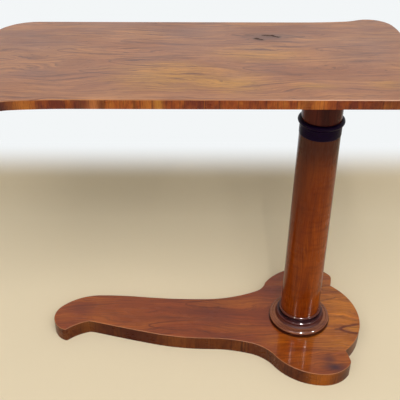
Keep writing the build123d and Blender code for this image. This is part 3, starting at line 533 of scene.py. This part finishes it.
# A painted shadow darkens the floor frame in the angle round the ring's foot.
RING_SHADOW_FULL, RING_SHADOW_EDGE = 0.0005, 0.0035
ring_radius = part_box("foot_ring")[1][0]
from_axis = vector_length(tree, flatten(tree, place))
ring_shadow = spread(tree, from_axis, ring_radius + RING_SHADOW_EDGE, ring_radius + RING_SHADOW_FULL)
color = tint(tree, color, ring_shadow, 0.85, (0.030, 0.006, 0.004))
color = tint(tree, color, lines["Pores"], 0.45, (0.045, 0.012, 0.007))
# The pale arris is partly wear and partly a painted highlight; the rubbed polish there is dull.
rubbed = add_arris(tree)
color = tint(tree, color, rubbed, 0.50, (0.50, 0.22, 0.085))
roughness = calculate(tree, "MULTIPLY_ADD", rubbed, 0.25,
                      add_polish(tree, place, clean=0.20, worn=0.10))
coat = calculate(tree, "MULTIPLY", calculate(tree, "SUBTRACT", 1.0, rubbed), 0.45)
finish_wood(tree, surface, color, roughness, lines["Pores"], relief=-0.00003, specular=0.1,
            coat=coat)
assign(base_veneer, "base_face_veneer")

# Crossbanding round the floor frame's edge
# Strips of rosewood glued round the core with the grain upright. Each strip has its own colour and
# stripes, and the glue shows as a thin dark line where two of them meet.
TONE_SHARE, TONE_PLACES, JOINT_WIDTH = 0.42, (0.45, 0.71, 0.97), 0.018


def banding_material(name, colors, clean, strip_width, zones):
    """Strips of veneer round an edge: cells in plan give the strips, noise stretched upright gives
    each strip's stripes, and zones in plan shift the colour of whole stretches."""
    material, tree, surface = new_material(name)
    place = object_place(tree)
    cells = {"Vector": flatten(tree, place), "Scale": 1 / strip_width, "Randomness": 1.0}
    strips = add_node(tree, "TexVoronoi", cells).outputs["Color"]
    tone = add_node(tree, "SeparateColor", {0: strips}).outputs[0]
    stripes = stretched_noise(tree, place, (1.0, 1.0, 0.08), 4.0, 0.65, scale=420.0)
    waves = stretched_noise(tree, place, (1.0, 1.0, 0.5), 4.0, 0.6, scale=75.0)
    shade = calculate(tree, "MULTIPLY_ADD", tone, TONE_SHARE, waves)
    color = color_run(tree, shade, tuple(zip(TONE_PLACES, colors)))
    color = add_zones(tree, color, place, zones)
    color = tint(tree, color, spread(tree, stripes, 0.44, 0.74), 0.55, (0.035, 0.009, 0.005))
    joint = add_node(tree, "TexVoronoi", cells, feature="DISTANCE_TO_EDGE").outputs[0]
    color = tint(tree, color, spread(tree, joint, JOINT_WIDTH, 0.0), 0.5, (0.03, 0.012, 0.008))
    finish_wood(tree, surface, color, add_polish(tree, place, clean, worn=0.12), stripes,
                relief=-0.00004, specular=0.2)
    return material


base_banding = banding_material(
    "base_edge_banding", clean=0.22, strip_width=0.045,
    colors=((0.075, 0.017, 0.008), (0.130, 0.031, 0.010), (0.210, 0.060, 0.014)),
    zones=(((-0.558, -0.02), (0.04, 0.04), 0.8, (0.235, 0.075, 0.018)),
           ((-0.25, -0.08), (0.08, 0.05), 0.6, (0.190, 0.048, 0.010)),
           ((-0.44, -0.05), (0.12, 0.06), 0.85, (0.068, 0.011, 0.006)),
           ((0.035, -0.19), (0.06, 0.05), 0.9, (0.44, 0.120, 0.012)),
           ((-0.10, -0.13), (0.06, 0.06), 0.5, (0.095, 0.026, 0.012))))
assign(base_banding, "base_edge_veneer")

# Turned ring round the foot of the column
# Rosewood turned on the lathe, stained dark and polished until each moulding glints; it hides the
# joint between the column and the floor frame.
RING_COLUMNS, RING_GAP = 192, 0.0001
# Each moulding's own size, then where it is: its radius from the axis and its level above the
# floor frame.
PLINTH_RADIUS, TORUS, TORUS_LEVEL = 0.072, 0.006, 0.008
QUIRK_RADIUS, QUIRK_WIDTH, QUIRK_DEPTH = 0.0696, 0.0012, 0.0010
SCOTIA_RADIUS, SCOTIA_DEPTH, SCOTIA_HEIGHT = 0.0676, 0.0098, 0.0075
BEAD, BEAD_RADIUS, BEAD_LEVEL = 0.0032, 0.0565, 0.0248
COVE_RADIUS, COVE_DEPTH = 0.0535, 0.0007
ASTRAGAL, ASTRAGAL_RADIUS, ASTRAGAL_LEVEL = 0.003, 0.051, 0.039


def arc_rows(centre, radius, start, stop, rows=16):
    """Rows of a profile round an arc: the centre plus the radius turned from start to stop degrees,
    counted from straight out towards straight up."""
    turn = np.radians(np.linspace(start, stop, rows))
    return stack_points(centre[0] + radius * np.cos(turn), centre[1] + radius * np.sin(turn))


def close_surface(mesh, sharp_angle=38):
    """Merges a turned grid's seam and poles, turns its faces outwards and shades it smooth."""
    welded = bmesh.new()
    welded.from_mesh(mesh)
    bmesh.ops.remove_doubles(welded, verts=welded.verts, dist=1e-7)
    bmesh.ops.recalc_face_normals(welded, faces=welded.faces)
    welded.to_mesh(mesh)
    welded.free()
    mesh.shade_smooth()
    mesh.set_sharp_from_angle(angle=math.radians(sharp_angle))


ring_low, ring_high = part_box("foot_ring")
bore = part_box("column_veneer")[1][0] + RING_GAP
torus_seat, torus_top = ring_high[0] - TORUS, TORUS_LEVEL + TORUS
quirk = [(QUIRK_RADIUS + QUIRK_WIDTH / 2, torus_top), (QUIRK_RADIUS, torus_top - QUIRK_DEPTH),
         (QUIRK_RADIUS - QUIRK_WIDTH / 2, torus_top)]
# The scotia leaves the torus level and meets the bead upright: a quarter of an ellipse, with its
# radius shrinking as the sine of the turn and its level rising as one less the cosine.
turn = np.linspace(0, math.pi / 2, 20)
scotia = stack_points(SCOTIA_RADIUS - SCOTIA_DEPTH * np.sin(turn),
                      torus_top + SCOTIA_HEIGHT * (1 - np.cos(turn)))
# The cove between the bead and the astragal is hollowed by half a wave of the sine.
share = np.linspace(0, 1, 12)
bead_foot, bead_top, astragal_foot = BEAD_LEVEL - BEAD, BEAD_LEVEL + BEAD, ASTRAGAL_LEVEL - ASTRAGAL
cove = stack_points(COVE_RADIUS - COVE_DEPTH * np.sin(math.pi * share),
                    bead_top + (astragal_foot - bead_top) * share)
ring_profile = np.concatenate((
    [(bore, 0.0), (PLINTH_RADIUS, 0.0), (PLINTH_RADIUS, TORUS_LEVEL - TORUS)],
    arc_rows((torus_seat, TORUS_LEVEL), TORUS, -90, 90, rows=28), quirk, scotia,
    [(SCOTIA_RADIUS - SCOTIA_DEPTH, bead_foot)], arc_rows((BEAD_RADIUS, BEAD_LEVEL), BEAD, -90, 90),
    cove, arc_rows((ASTRAGAL_RADIUS, ASTRAGAL_LEVEL), ASTRAGAL, -90, 90),
    [(bore, ASTRAGAL_LEVEL + ASTRAGAL), (bore, 0.0)]))
radius, rise = ring_profile[:, :1], ring_profile[:, 1:]
turn = np.linspace(0, 2 * math.pi, RING_COLUMNS, endpoint=False)
ring_points = stack_points(radius * np.cos(turn), radius * np.sin(turn), ring_low[2] + rise)
ring_mesh = grid_mesh("foot_ring_turned", ring_points, close_columns=True)
close_surface(ring_mesh)

ring_finish, tree, surface = new_material("dark_turned_wood")
place = object_place(tree)
lines = add_figure(tree, place, rings=160.0, wander=0.05, fibre=620.0)
rise = spread(tree, axes_of(tree, place)["Z"], ring_low[2], ring_high[2], smooth=False)
# From the foot up: the plinth and the torus's underside painted near black as shadow, the torus's
# crest and the fillet past its quirk painted light as highlights, the scotia, painted shade under
# the bead, the bead, the cove painted near black as shade, and the astragal.
color = color_run(tree, rise, (
    (0.00, (0.006, 0.002, 0.003)), (0.09, (0.030, 0.006, 0.004)), (0.17, (0.130, 0.030, 0.012)),
    (0.25, (0.400, 0.150, 0.058)), (0.31, (0.200, 0.056, 0.022)), (0.335, (0.290, 0.105, 0.045)),
    (0.345, (0.260, 0.090, 0.040)), (0.37, (0.070, 0.012, 0.005)), (0.49, (0.130, 0.030, 0.012)),
    (0.515, (0.020, 0.003, 0.004)), (0.535, (0.040, 0.007, 0.006)), (0.59, (0.120, 0.028, 0.020)),
    (0.65, (0.100, 0.024, 0.018)), (0.68, (0.002, 0.0005, 0.004)), (0.85, (0.002, 0.0005, 0.004)),
    (0.88, (0.130, 0.034, 0.022)), (1.00, (0.120, 0.030, 0.016))))
color = tint(tree, color, lines["Lines"], 0.35, (0.045, 0.010, 0.012))
color = tint(tree, color, lines["Streak"], 0.30, (0.050, 0.012, 0.012))
color = tint(tree, color, spread(tree, lines["Broad"], 0.45, 0.60), 0.35, (0.060, 0.018, 0.022))
# The scotia is dull, because a cloth doesn't reach into it.
hollow = calculate(tree, "MULTIPLY", spread(tree, rise, 0.335, 0.36),
                   spread(tree, rise, 0.515, 0.50))
roughness = calculate(tree, "MULTIPLY_ADD", hollow, 0.35,
                      add_polish(tree, place, clean=0.15, worn=0.1))
coat = calculate(tree, "MULTIPLY_ADD", hollow, -0.36, 0.36)
finish_wood(tree, surface, color, roughness, lines["Pores"], relief=-0.00002, specular=0.05,
            coat=coat)
foot_ring = add_object("foot_ring_turned", ring_mesh, ring_finish)
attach(foot_ring, "stand")
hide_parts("foot_ring")
for lit_pieces in ring_lights:
    lit_pieces.objects.link(foot_ring)

# Column
# A hollow tapered shaft, sawn in two to cut the channel and glued up again, then wrapped in one
# sheet of rosewood veneer with the grain upright and its seam at the back.
column_finish, tree, surface = new_material("column_veneer")
axes = axes_of(tree, object_place(tree))
turn = calculate(tree, "ARCTAN2", axes["X"], calculate(tree, "MULTIPLY", axes["Y"], -1.0))
mean_radius = sum(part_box("column_veneer")[1][:2]) / 2
# The veneer laid flat: its first number is the level on the shaft, its second the way round from
# the front, which is the turn times the mean radius.
wrapped = join_axes(tree, X=axes["Z"], Y=calculate(tree, "MULTIPLY", turn, mean_radius))
lines = add_figure(tree, wrapped, rings=170.0, wander=0.05, fibre=420.0)
color = color_run(tree, lines["Broad"], (
    (0.36, (0.155, 0.020, 0.0015)), (0.50, (0.225, 0.036, 0.002)), (0.64, (0.295, 0.058, 0.003))))
color = add_zones(tree, color, wrapped, (
    ((0.22, 0.034), (0.50, 0.050), 0.75, (0.440, 0.095, 0.006)),
    ((0.50, -0.042), (0.22, 0.040), 0.70, (0.090, 0.013, 0.002))))
ripple = stretched_noise(tree, wrapped, (75.0, 18.0, 0.0), 3.0, 0.6)
color = tint(tree, color, spread(tree, ripple, 0.45, 0.68), 0.35, (0.105, 0.013, 0.0015))
color = tint(tree, color, lines["Lines"], 0.50, (0.070, 0.009, 0.0015))
color = tint(tree, color, lines["Streak"], 0.50, (0.065, 0.009, 0.0015))
# Painted shade darkens the shaft upwards towards the collar and the top above it, and round its
# foot by the ring.
color = tint(tree, color, spread(tree, axes["Z"], 0.25, 0.60), 0.35, (0.066, 0.010, 0.003))
color = tint(tree, color, spread(tree, axes["Z"], 0.500, 0.575), 0.75, (0.050, 0.010, 0.006))
color = tint(tree, color, spread(tree, axes["Z"], 0.13, 0.07), 0.35, (0.120, 0.010, 0.0015))
color = tint(tree, color, lines["Pores"], 0.4, (0.030, 0.005, 0.0015))
finish_wood(tree, surface, color, add_polish(tree, wrapped, clean=0.22, worn=0.1),
            lines["Pores"], relief=-0.00003, specular=0.05, coat=0.34)
assign(column_finish, "column_veneer")

# Collar
# Turned, cut with fine lines round its band, ebonised and waxed. It is glued over the column's
# tenon and holds the brass throat plate in its cup.
ebonised, tree, surface = new_material("ebonised_wood")
place = object_place(tree)
lines = add_figure(tree, place, rings=160.0, wander=0.04, fibre=620.0)
color = color_run(tree, lines["Streak"], (
    (0.2, (0.0100, 0.0012, 0.0260)), (0.8, (0.0050, 0.0005, 0.0140))))
rubbed = spread(tree, noise(tree, place, 70.0, 4.0, 0.6), 0.60, 0.80)
color = tint(tree, color, rubbed, 0.35, (0.034, 0.010, 0.014))
finish_wood(tree, surface, color, add_polish(tree, place, clean=0.26, worn=0.15),
            lines["Pores"], relief=-0.00002, specular=0.07)
assign(ebonised, "collar")

# Brass of the clamp, the throat plate and the wear strip
# Turned and filed brass, lacquered long ago and browned where the lacquer has gone. The bush is
# pressed into the column behind its escutcheon, and small slotted screws hold the flat plates.
brass, tree, surface = new_material("brass")
place = object_place(tree)
tarnish = noise(tree, place, 70.0, 5.0, 0.62)
color = color_run(tree, tarnish, (
    (0.32, (0.30, 0.165, 0.045)), (0.48, (0.56, 0.35, 0.115)), (0.66, (0.78, 0.55, 0.22))))
spots = spread(tree, noise(tree, place, 260.0, 3.0, 0.6), 0.62, 0.74)
color = tint(tree, color, spots, 0.6, (0.14, 0.075, 0.030))
scratches = stretched_noise(tree, place, (1.0, 1.0, 0.05), 2.0, 0.5, scale=1500.0)
bump = add_node(tree, "Bump", {"Strength": 1.0, "Distance": 0.00001, "Height": scratches})
roughness = calculate(tree, "MULTIPLY_ADD", spots, 0.2,
                      add_polish(tree, place, clean=0.18, worn=0.2))
shader = add_node(tree, "BsdfPrincipled", {"Base Color": color, "Metallic": 1.0,
                                           "Roughness": roughness, "Normal": bump.outputs[0]})
tree.links.new(shader.outputs[0], surface)
assign(brass, "throat_plate", "throat_screws", "clamp_bush", "clamp_escutcheon", "wear_strip",
       "wear_strip_screws", "stop_peg", "clamp_shoe")

# Thumbscrew of the clamp
# One piece of brass turned on the lathe: a nose that seats in the shoe, a shank cut with a single
# thread, and a knob with a milled rim, a raised hub and turned rings on its face.
PITCH, THREAD_DEPTH, THREAD_RUNOUT = 0.0015875, 0.0009, 0.0012
THREAD_START, THREAD_GAP = 0.0031, 0.0010
NOSE_RADIUS, RELIEF_RADIUS, SHANK_RADIUS, SHOULDER_RADIUS = 0.003, 0.0042, 0.00475, 0.0143
KNOB_STAND, HUB_RISE = 0.004, 0.003
FLUTES, FLUTE_RADIUS, MILLED_RADIUS, MILLED_RUNOUT = 20, 0.0013, 0.0138, 0.0010
SCREW_COLUMNS = 160


def lathe_profile(*corners, step=0.0002):
    """Evenly spaced (distance, radius) rows along straight runs between corners."""
    corners = np.array(corners)
    lengths = np.hypot(*np.diff(corners, axis=0).T)
    travel = np.concatenate(([0], np.cumsum(lengths)))
    rows = np.unique(np.concatenate((travel, np.arange(0, travel[-1], step))))
    return np.stack([np.interp(rows, travel, corners[:, axis]) for axis in (0, 1)], axis=-1)


screw_low, screw_high = (np.array(corner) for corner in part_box("thumbscrew"))
screw_length = screw_high[1] - screw_low[1]
screw_level = (screw_low[2] + screw_high[2]) / 2
knob_radius = screw_high[0]
bush_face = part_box("clamp_bush")[1][1] - screw_low[1]
knob_back, knob_front = bush_face + KNOB_STAND, screw_length - HUB_RISE
thread_end = knob_back - THREAD_GAP
profile = lathe_profile(
    (0, 0), (0, 0.0026), (0.0004, NOSE_RADIUS), (0.0025, NOSE_RADIUS), (0.0026, RELIEF_RADIUS),
    (THREAD_START, SHANK_RADIUS), (thread_end, SHANK_RADIUS), (knob_back - 0.0008, RELIEF_RADIUS),
    (knob_back - 0.0003, RELIEF_RADIUS), (knob_back, 0.0075), (knob_back + 0.0006, 0.0125),
    (knob_back + 0.0022, SHOULDER_RADIUS), (knob_back + 0.0030, knob_radius),
    (knob_front - 0.0022, knob_radius), (knob_front - 0.0012, SHOULDER_RADIUS),
    (knob_front - 0.0002, 0.0128), (knob_front - 0.0002, 0.0122), (knob_front - 0.0007, 0.0118),
    (knob_front - 0.0007, 0.0098), (knob_front, 0.0092), (knob_front, 0.0085),
    (screw_length - 0.0012, 0.0081), (screw_length - 0.0003, 0.0070), (screw_length, 0.0055),
    (screw_length - 0.0003, 0.0020), (screw_length - 0.0003, 0))
distance, radius = profile[:, 0, None], profile[:, 1, None]
turns = np.linspace(0, 1, SCREW_COLUMNS, endpoint=False)
# The thread takes from the shank a triangle wave of distance over pitch plus turns, so its crest
# climbs one pitch a turn; it runs out smoothly at both ends.
phase = (distance / PITCH + turns) % 1
threaded = (np.clip((distance - THREAD_START) / THREAD_RUNOUT, 0, 1)
            * np.clip((thread_end - distance) / THREAD_RUNOUT, 0, 1))
radius = radius - THREAD_DEPTH * np.abs(2 * phase - 1) * threaded
# Each flute is a circle centred on the knob's rim, so it takes off the square root of its radius
# squared less the squared distance round the rim.
rim_offset = knob_radius * ((turns * FLUTES + 0.5) % 1 - 0.5) * 2 * math.pi / FLUTES
flute = np.sqrt(np.clip(FLUTE_RADIUS ** 2 - rim_offset ** 2, 0, None))
radius = radius - flute * np.clip((radius - MILLED_RADIUS) / MILLED_RUNOUT, 0, 1)
angle = 2 * math.pi * turns
screw_points = stack_points(radius * np.cos(angle), screw_low[1] + distance,
                            screw_level + radius * np.sin(angle))
screw_mesh = grid_mesh("thumbscrew_turned", screw_points, close_columns=True)
close_surface(screw_mesh)
thumbscrew = add_object("thumbscrew_turned", screw_mesh, brass)
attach(thumbscrew, "screw")
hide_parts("thumbscrew")

# Rising post
# A square hardwood post with its arrises taken off, waxed so that it slides in the channel; its
# tenon is split by two wedges above the bearers.
UPRIGHT = (0, math.pi / 2, 0)
post_finish, tree, surface = new_material("post_wood")
place = object_place(tree, rotation=UPRIGHT)
lines = add_figure(tree, place, rings=150.0, wander=0.05, fibre=520.0)
color = color_run(tree, lines["Broad"], ((0.3, (0.17, 0.062, 0.024)), (0.7, (0.32, 0.14, 0.055))))
color = tint(tree, color, lines["Lines"], 0.4, (0.12, 0.042, 0.018))
color = tint(tree, color, lines["Streak"], 0.35, (0.10, 0.036, 0.016))
color = tint(tree, color, lines["Pores"], 0.6, (0.04, 0.016, 0.009))
finish_wood(tree, surface, color, add_polish(tree, place, clean=0.32, worn=0.2),
            lines["Pores"], relief=-0.00006, specular=0.35)
assign(post_finish, "inner_post", "tenon_wedges")

# Neck
# A turned drum glued round the post under the bearers: it drops into the collar's cup when the
# top is lowered, and its cap spreads under the bearers.
neck_finish, tree, surface = new_material("neck_wood")
place = object_place(tree, rotation=UPRIGHT)
lines = add_figure(tree, place, rings=150.0, wander=0.05, fibre=620.0)
color = color_run(tree, lines["Broad"], (
    (0.35, (0.062, 0.010, 0.009)), (0.65, (0.135, 0.025, 0.015))))
color = tint(tree, color, lines["Lines"], 0.6, (0.028, 0.005, 0.006))
color = tint(tree, color, lines["Streak"], 0.5, (0.028, 0.005, 0.006))
# A painted shade: a darker stripe down the front of the drum.
color = add_zones(tree, color, object_place(tree), (
    ((-0.002, -0.044), (0.014, 0.020), 0.7, (0.028, 0.005, 0.008)),))
finish_wood(tree, surface, color, add_polish(tree, place, clean=0.20, worn=0.12),
            lines["Pores"], relief=-0.00003, specular=0.12)
assign(neck_finish, "neck_drum")

# Bearers
# Two planed and stained boards halved over each other and screwed up into the top; the plane's
# shallow scallops still cross their faces.
bearer_finish, tree, surface = new_material("bearer_wood")
place = object_place(tree)
lines = add_figure(tree, place, rings=110.0, wander=0.10, fibre=430.0)
color = color_run(tree, lines["Broad"], ((0.3, (0.11, 0.045, 0.020)), (0.7, (0.24, 0.105, 0.045))))
color = tint(tree, color, lines["Lines"], 0.4, (0.07, 0.028, 0.013))
color = tint(tree, color, lines["Streak"], 0.35, (0.065, 0.027, 0.013))
color = tint(tree, color, lines["Pores"], 0.6, (0.03, 0.013, 0.008))
scallops = add_node(tree, "TexWave", {"Vector": place, "Scale": 9.0, "Distortion": 1.5,
                                      "Detail": 2.0}, bands_direction="X").outputs["Fac"]
planed = calculate(tree, "MULTIPLY_ADD", scallops, -0.6, lines["Streak"])
finish_wood(tree, surface, color, add_polish(tree, place, clean=0.42, worn=0.2), planed,
            relief=-0.00012, specular=0.35)
assign(bearer_finish, "long_bearer", "cross_bearer")

# Steel screws
# Slotted countersunk screws, which hold the column to the floor frame and the bearers to the top.
# Age, and the stain brushed over their heads, have darkened them.
steel, tree, surface = new_material("steel_screws")
place = object_place(tree)
rust = noise(tree, place, 120.0, 4.0, 0.6)
color = color_run(tree, rust, (
    (0.35, (0.11, 0.075, 0.055)), (0.55, (0.22, 0.20, 0.18)), (0.7, (0.36, 0.34, 0.32))))
shader = add_node(tree, "BsdfPrincipled", {
    "Base Color": color, "Metallic": 0.9,
    "Roughness": add_polish(tree, place, clean=0.35, worn=0.25)})
tree.links.new(shader.outputs[0], surface)
assign(steel, "column_screws", "bearer_screws")

# Veneer on the tabletop
# Sheets of figured rosewood glued to the core with the grain along the table, French polished and
# dulled by wiping. Golden sapwood shows in the middle, and small knots near the back edge.

# A knot: lines of grain part round a centre as water parts round a post, so the place across the
# grain is pulled by its size squared over its distance squared.
knot, k_in, k_out = start_group(
    "knot", {"Vector": "Vector", "Centre": "Vector", "Size": "Float"}, {"Vector": "Vector"})
away = vector_step(knot, "SUBTRACT", k_in["Vector"], k_in["Centre"])
oval = vector_step(knot, "MULTIPLY", away, (0.4, 1.0, 0.0))
size_squared = calculate(knot, "MULTIPLY", k_in["Size"], k_in["Size"])
softened = calculate(knot, "MULTIPLY_ADD", size_squared, 0.3, dot_product(knot, oval, oval))
pull = calculate(knot, "DIVIDE", size_squared, softened)
shift = calculate(knot, "MULTIPLY",
                  calculate(knot, "MULTIPLY", axes_of(knot, away)["Y"], pull), -0.7)
knot.links.new(vector_step(knot, "ADD", k_in["Vector"], join_axes(knot, Y=shift)),
               k_out["Vector"])

GOLDEN, PALE_ORANGE = (0.62, 0.300, 0.036), (0.55, 0.220, 0.080)
PURPLE_BROWN = (0.220, 0.100, 0.080)
top_veneer, tree, surface = new_material("top_veneer")
place = object_place(tree)
bent_place = place
for centre, size in (
        ((-0.109, 0.110, 0), 0.014), ((-0.140, 0.096, 0), 0.010), ((-0.180, 0.116, 0), 0.010)):
    bent_place = add_group(tree, knot, {"Vector": bent_place, "Centre": centre,
                                        "Size": size})["Vector"]
shortened = vector_step(tree, "MULTIPLY", bent_place, (1.5, 1.0, 1.0))
lines = add_figure(tree, shortened, rings=140.0, wander=0.12, fibre=230.0)
color = color_run(tree, lines["Broad"], (
    (0.34, (0.320, 0.118, 0.050)), (0.50, (0.405, 0.162, 0.063)), (0.64, (0.490, 0.208, 0.074))))
color = add_zones(tree, color, place, (
    ((-0.64, 0.07), (0.13, 0.08), 0.55, PURPLE_BROWN),
    ((-0.585, -0.087), (0.06, 0.03), 0.55, PURPLE_BROWN),
    ((-0.305, 0.14), (0.10, 0.05), 0.55, PURPLE_BROWN),
    ((0.095, 0.05), (0.11, 0.14), 0.40, PURPLE_BROWN),
    ((-0.42, 0.05), (0.13, 0.09), 0.40, PALE_ORANGE),
    ((-0.655, 0.172), (0.10, 0.04), 0.85, PALE_ORANGE),
    ((-0.33, -0.10), (0.14, 0.095), 0.70, GOLDEN),
    ((-0.205, -0.13), (0.10, 0.060), 0.80, GOLDEN),
    ((-0.14, 0.01), (0.13, 0.050), 0.50, GOLDEN),
    ((0.09, -0.135), (0.06, 0.03), 0.55, GOLDEN),
    ((-0.047, -0.145), (0.06, 0.022), 0.55, GOLDEN),
    ((-0.115, 0.107), (0.095, 0.034), 0.80, (0.110, 0.056, 0.044))))
color = tint(tree, color, lines["Lines"], 0.95, (0.135, 0.047, 0.028))
color = tint(tree, color, lines["Streak"], 0.62, (0.130, 0.047, 0.028))
color = add_tongues(tree, color, place, (0.120, 0.044, 0.028), 0.60, (
    ((-0.446, -0.027), (0.20, 0.036), 0.0030), ((-0.433, 0.083), (0.16, 0.022), 0.0030),
    ((-0.498, -0.076), (0.18, 0.020), 0.0030), ((-0.560, 0.030), (0.20, 0.026), 0.0030),
    ((-0.178, -0.060), (0.12, 0.022), 0.0030), ((-0.020, 0.040), (0.16, 0.024), 0.0030)))
# The knots: their black hearts, then the thinner brown marks beside them.
color = add_veins(tree, color, place, (0.040, 0.012, 0.006), 1.0, (
    ((-0.144, 0.099), (-0.130, 0.093), 0.0080), ((-0.125, 0.119), (-0.105, 0.116), 0.0066),
    ((-0.105, 0.116), (-0.093, 0.108), 0.0066)))
color = add_veins(tree, color, place, (0.115, 0.038, 0.018), 0.75, (
    ((-0.162, 0.122), (-0.148, 0.118), 0.0042), ((-0.191, 0.122), (-0.170, 0.114), 0.0050),
    ((-0.170, 0.114), (-0.156, 0.117), 0.0036), ((-0.080, 0.104), (-0.036, 0.112), 0.0042)))
color = tint(tree, color, lines["Pores"], 0.5, (0.060, 0.024, 0.016))
# Hands and cloths have rubbed the arris dull, and it is painted pale, partly for wear and partly
# as a highlight, most of all at the end over the column.
rubbed = add_arris(tree)
arris_highlight = calculate(tree, "MULTIPLY", rubbed, spread(tree, axes_of(tree, place)["X"], -0.30, 0.0))
color = tint(tree, color, arris_highlight, 0.60, (0.72, 0.45, 0.34))
roughness = calculate(tree, "MULTIPLY_ADD", rubbed, 0.25,
                      add_polish(tree, place, clean=0.28, worn=0.12))
# The darkest wood has sunk below the polish, so it is dull.
redness = add_node(tree, "SeparateColor", {0: color}).outputs[0]
roughness = calculate(tree, "MULTIPLY_ADD", spread(tree, redness, 0.10, 0.05), 0.65, roughness)
finish_wood(tree, surface, color, roughness, lines["Pores"], relief=-0.00005, specular=0.46)
assign(top_veneer, "top_face_veneer")

# Crossbanding round the tabletop's edge
# Strips of rosewood glued on with the grain upright, like the floor frame's but in brighter
# colours.
top_banding = banding_material(
    "top_edge_banding", clean=0.26, strip_width=0.048,
    colors=((0.130, 0.025, 0.014), (0.260, 0.057, 0.013), (0.400, 0.125, 0.022)),
    zones=(((-0.630, -0.22), (0.065, 0.06), 1.0, (0.050, 0.016, 0.018)),
           ((-0.580, -0.21), (0.034, 0.05), 0.8, (0.42, 0.140, 0.025)),
           ((-0.480, -0.21), (0.026, 0.05), 0.7, (0.085, 0.022, 0.020)),
           ((-0.455, -0.20), (0.015, 0.05), 0.8, (0.45, 0.160, 0.050)),
           ((-0.339, -0.20), (0.016, 0.05), 0.9, (0.50, 0.210, 0.034)),
           ((-0.070, -0.20), (0.022, 0.05), 0.6, (0.110, 0.030, 0.012)),
           ((-0.043, -0.20), (0.015, 0.05), 0.8, (0.45, 0.140, 0.025)),
           ((0.090, -0.20), (0.050, 0.06), 0.6, (0.095, 0.026, 0.012))))
assign(top_banding, "top_edge_veneer")
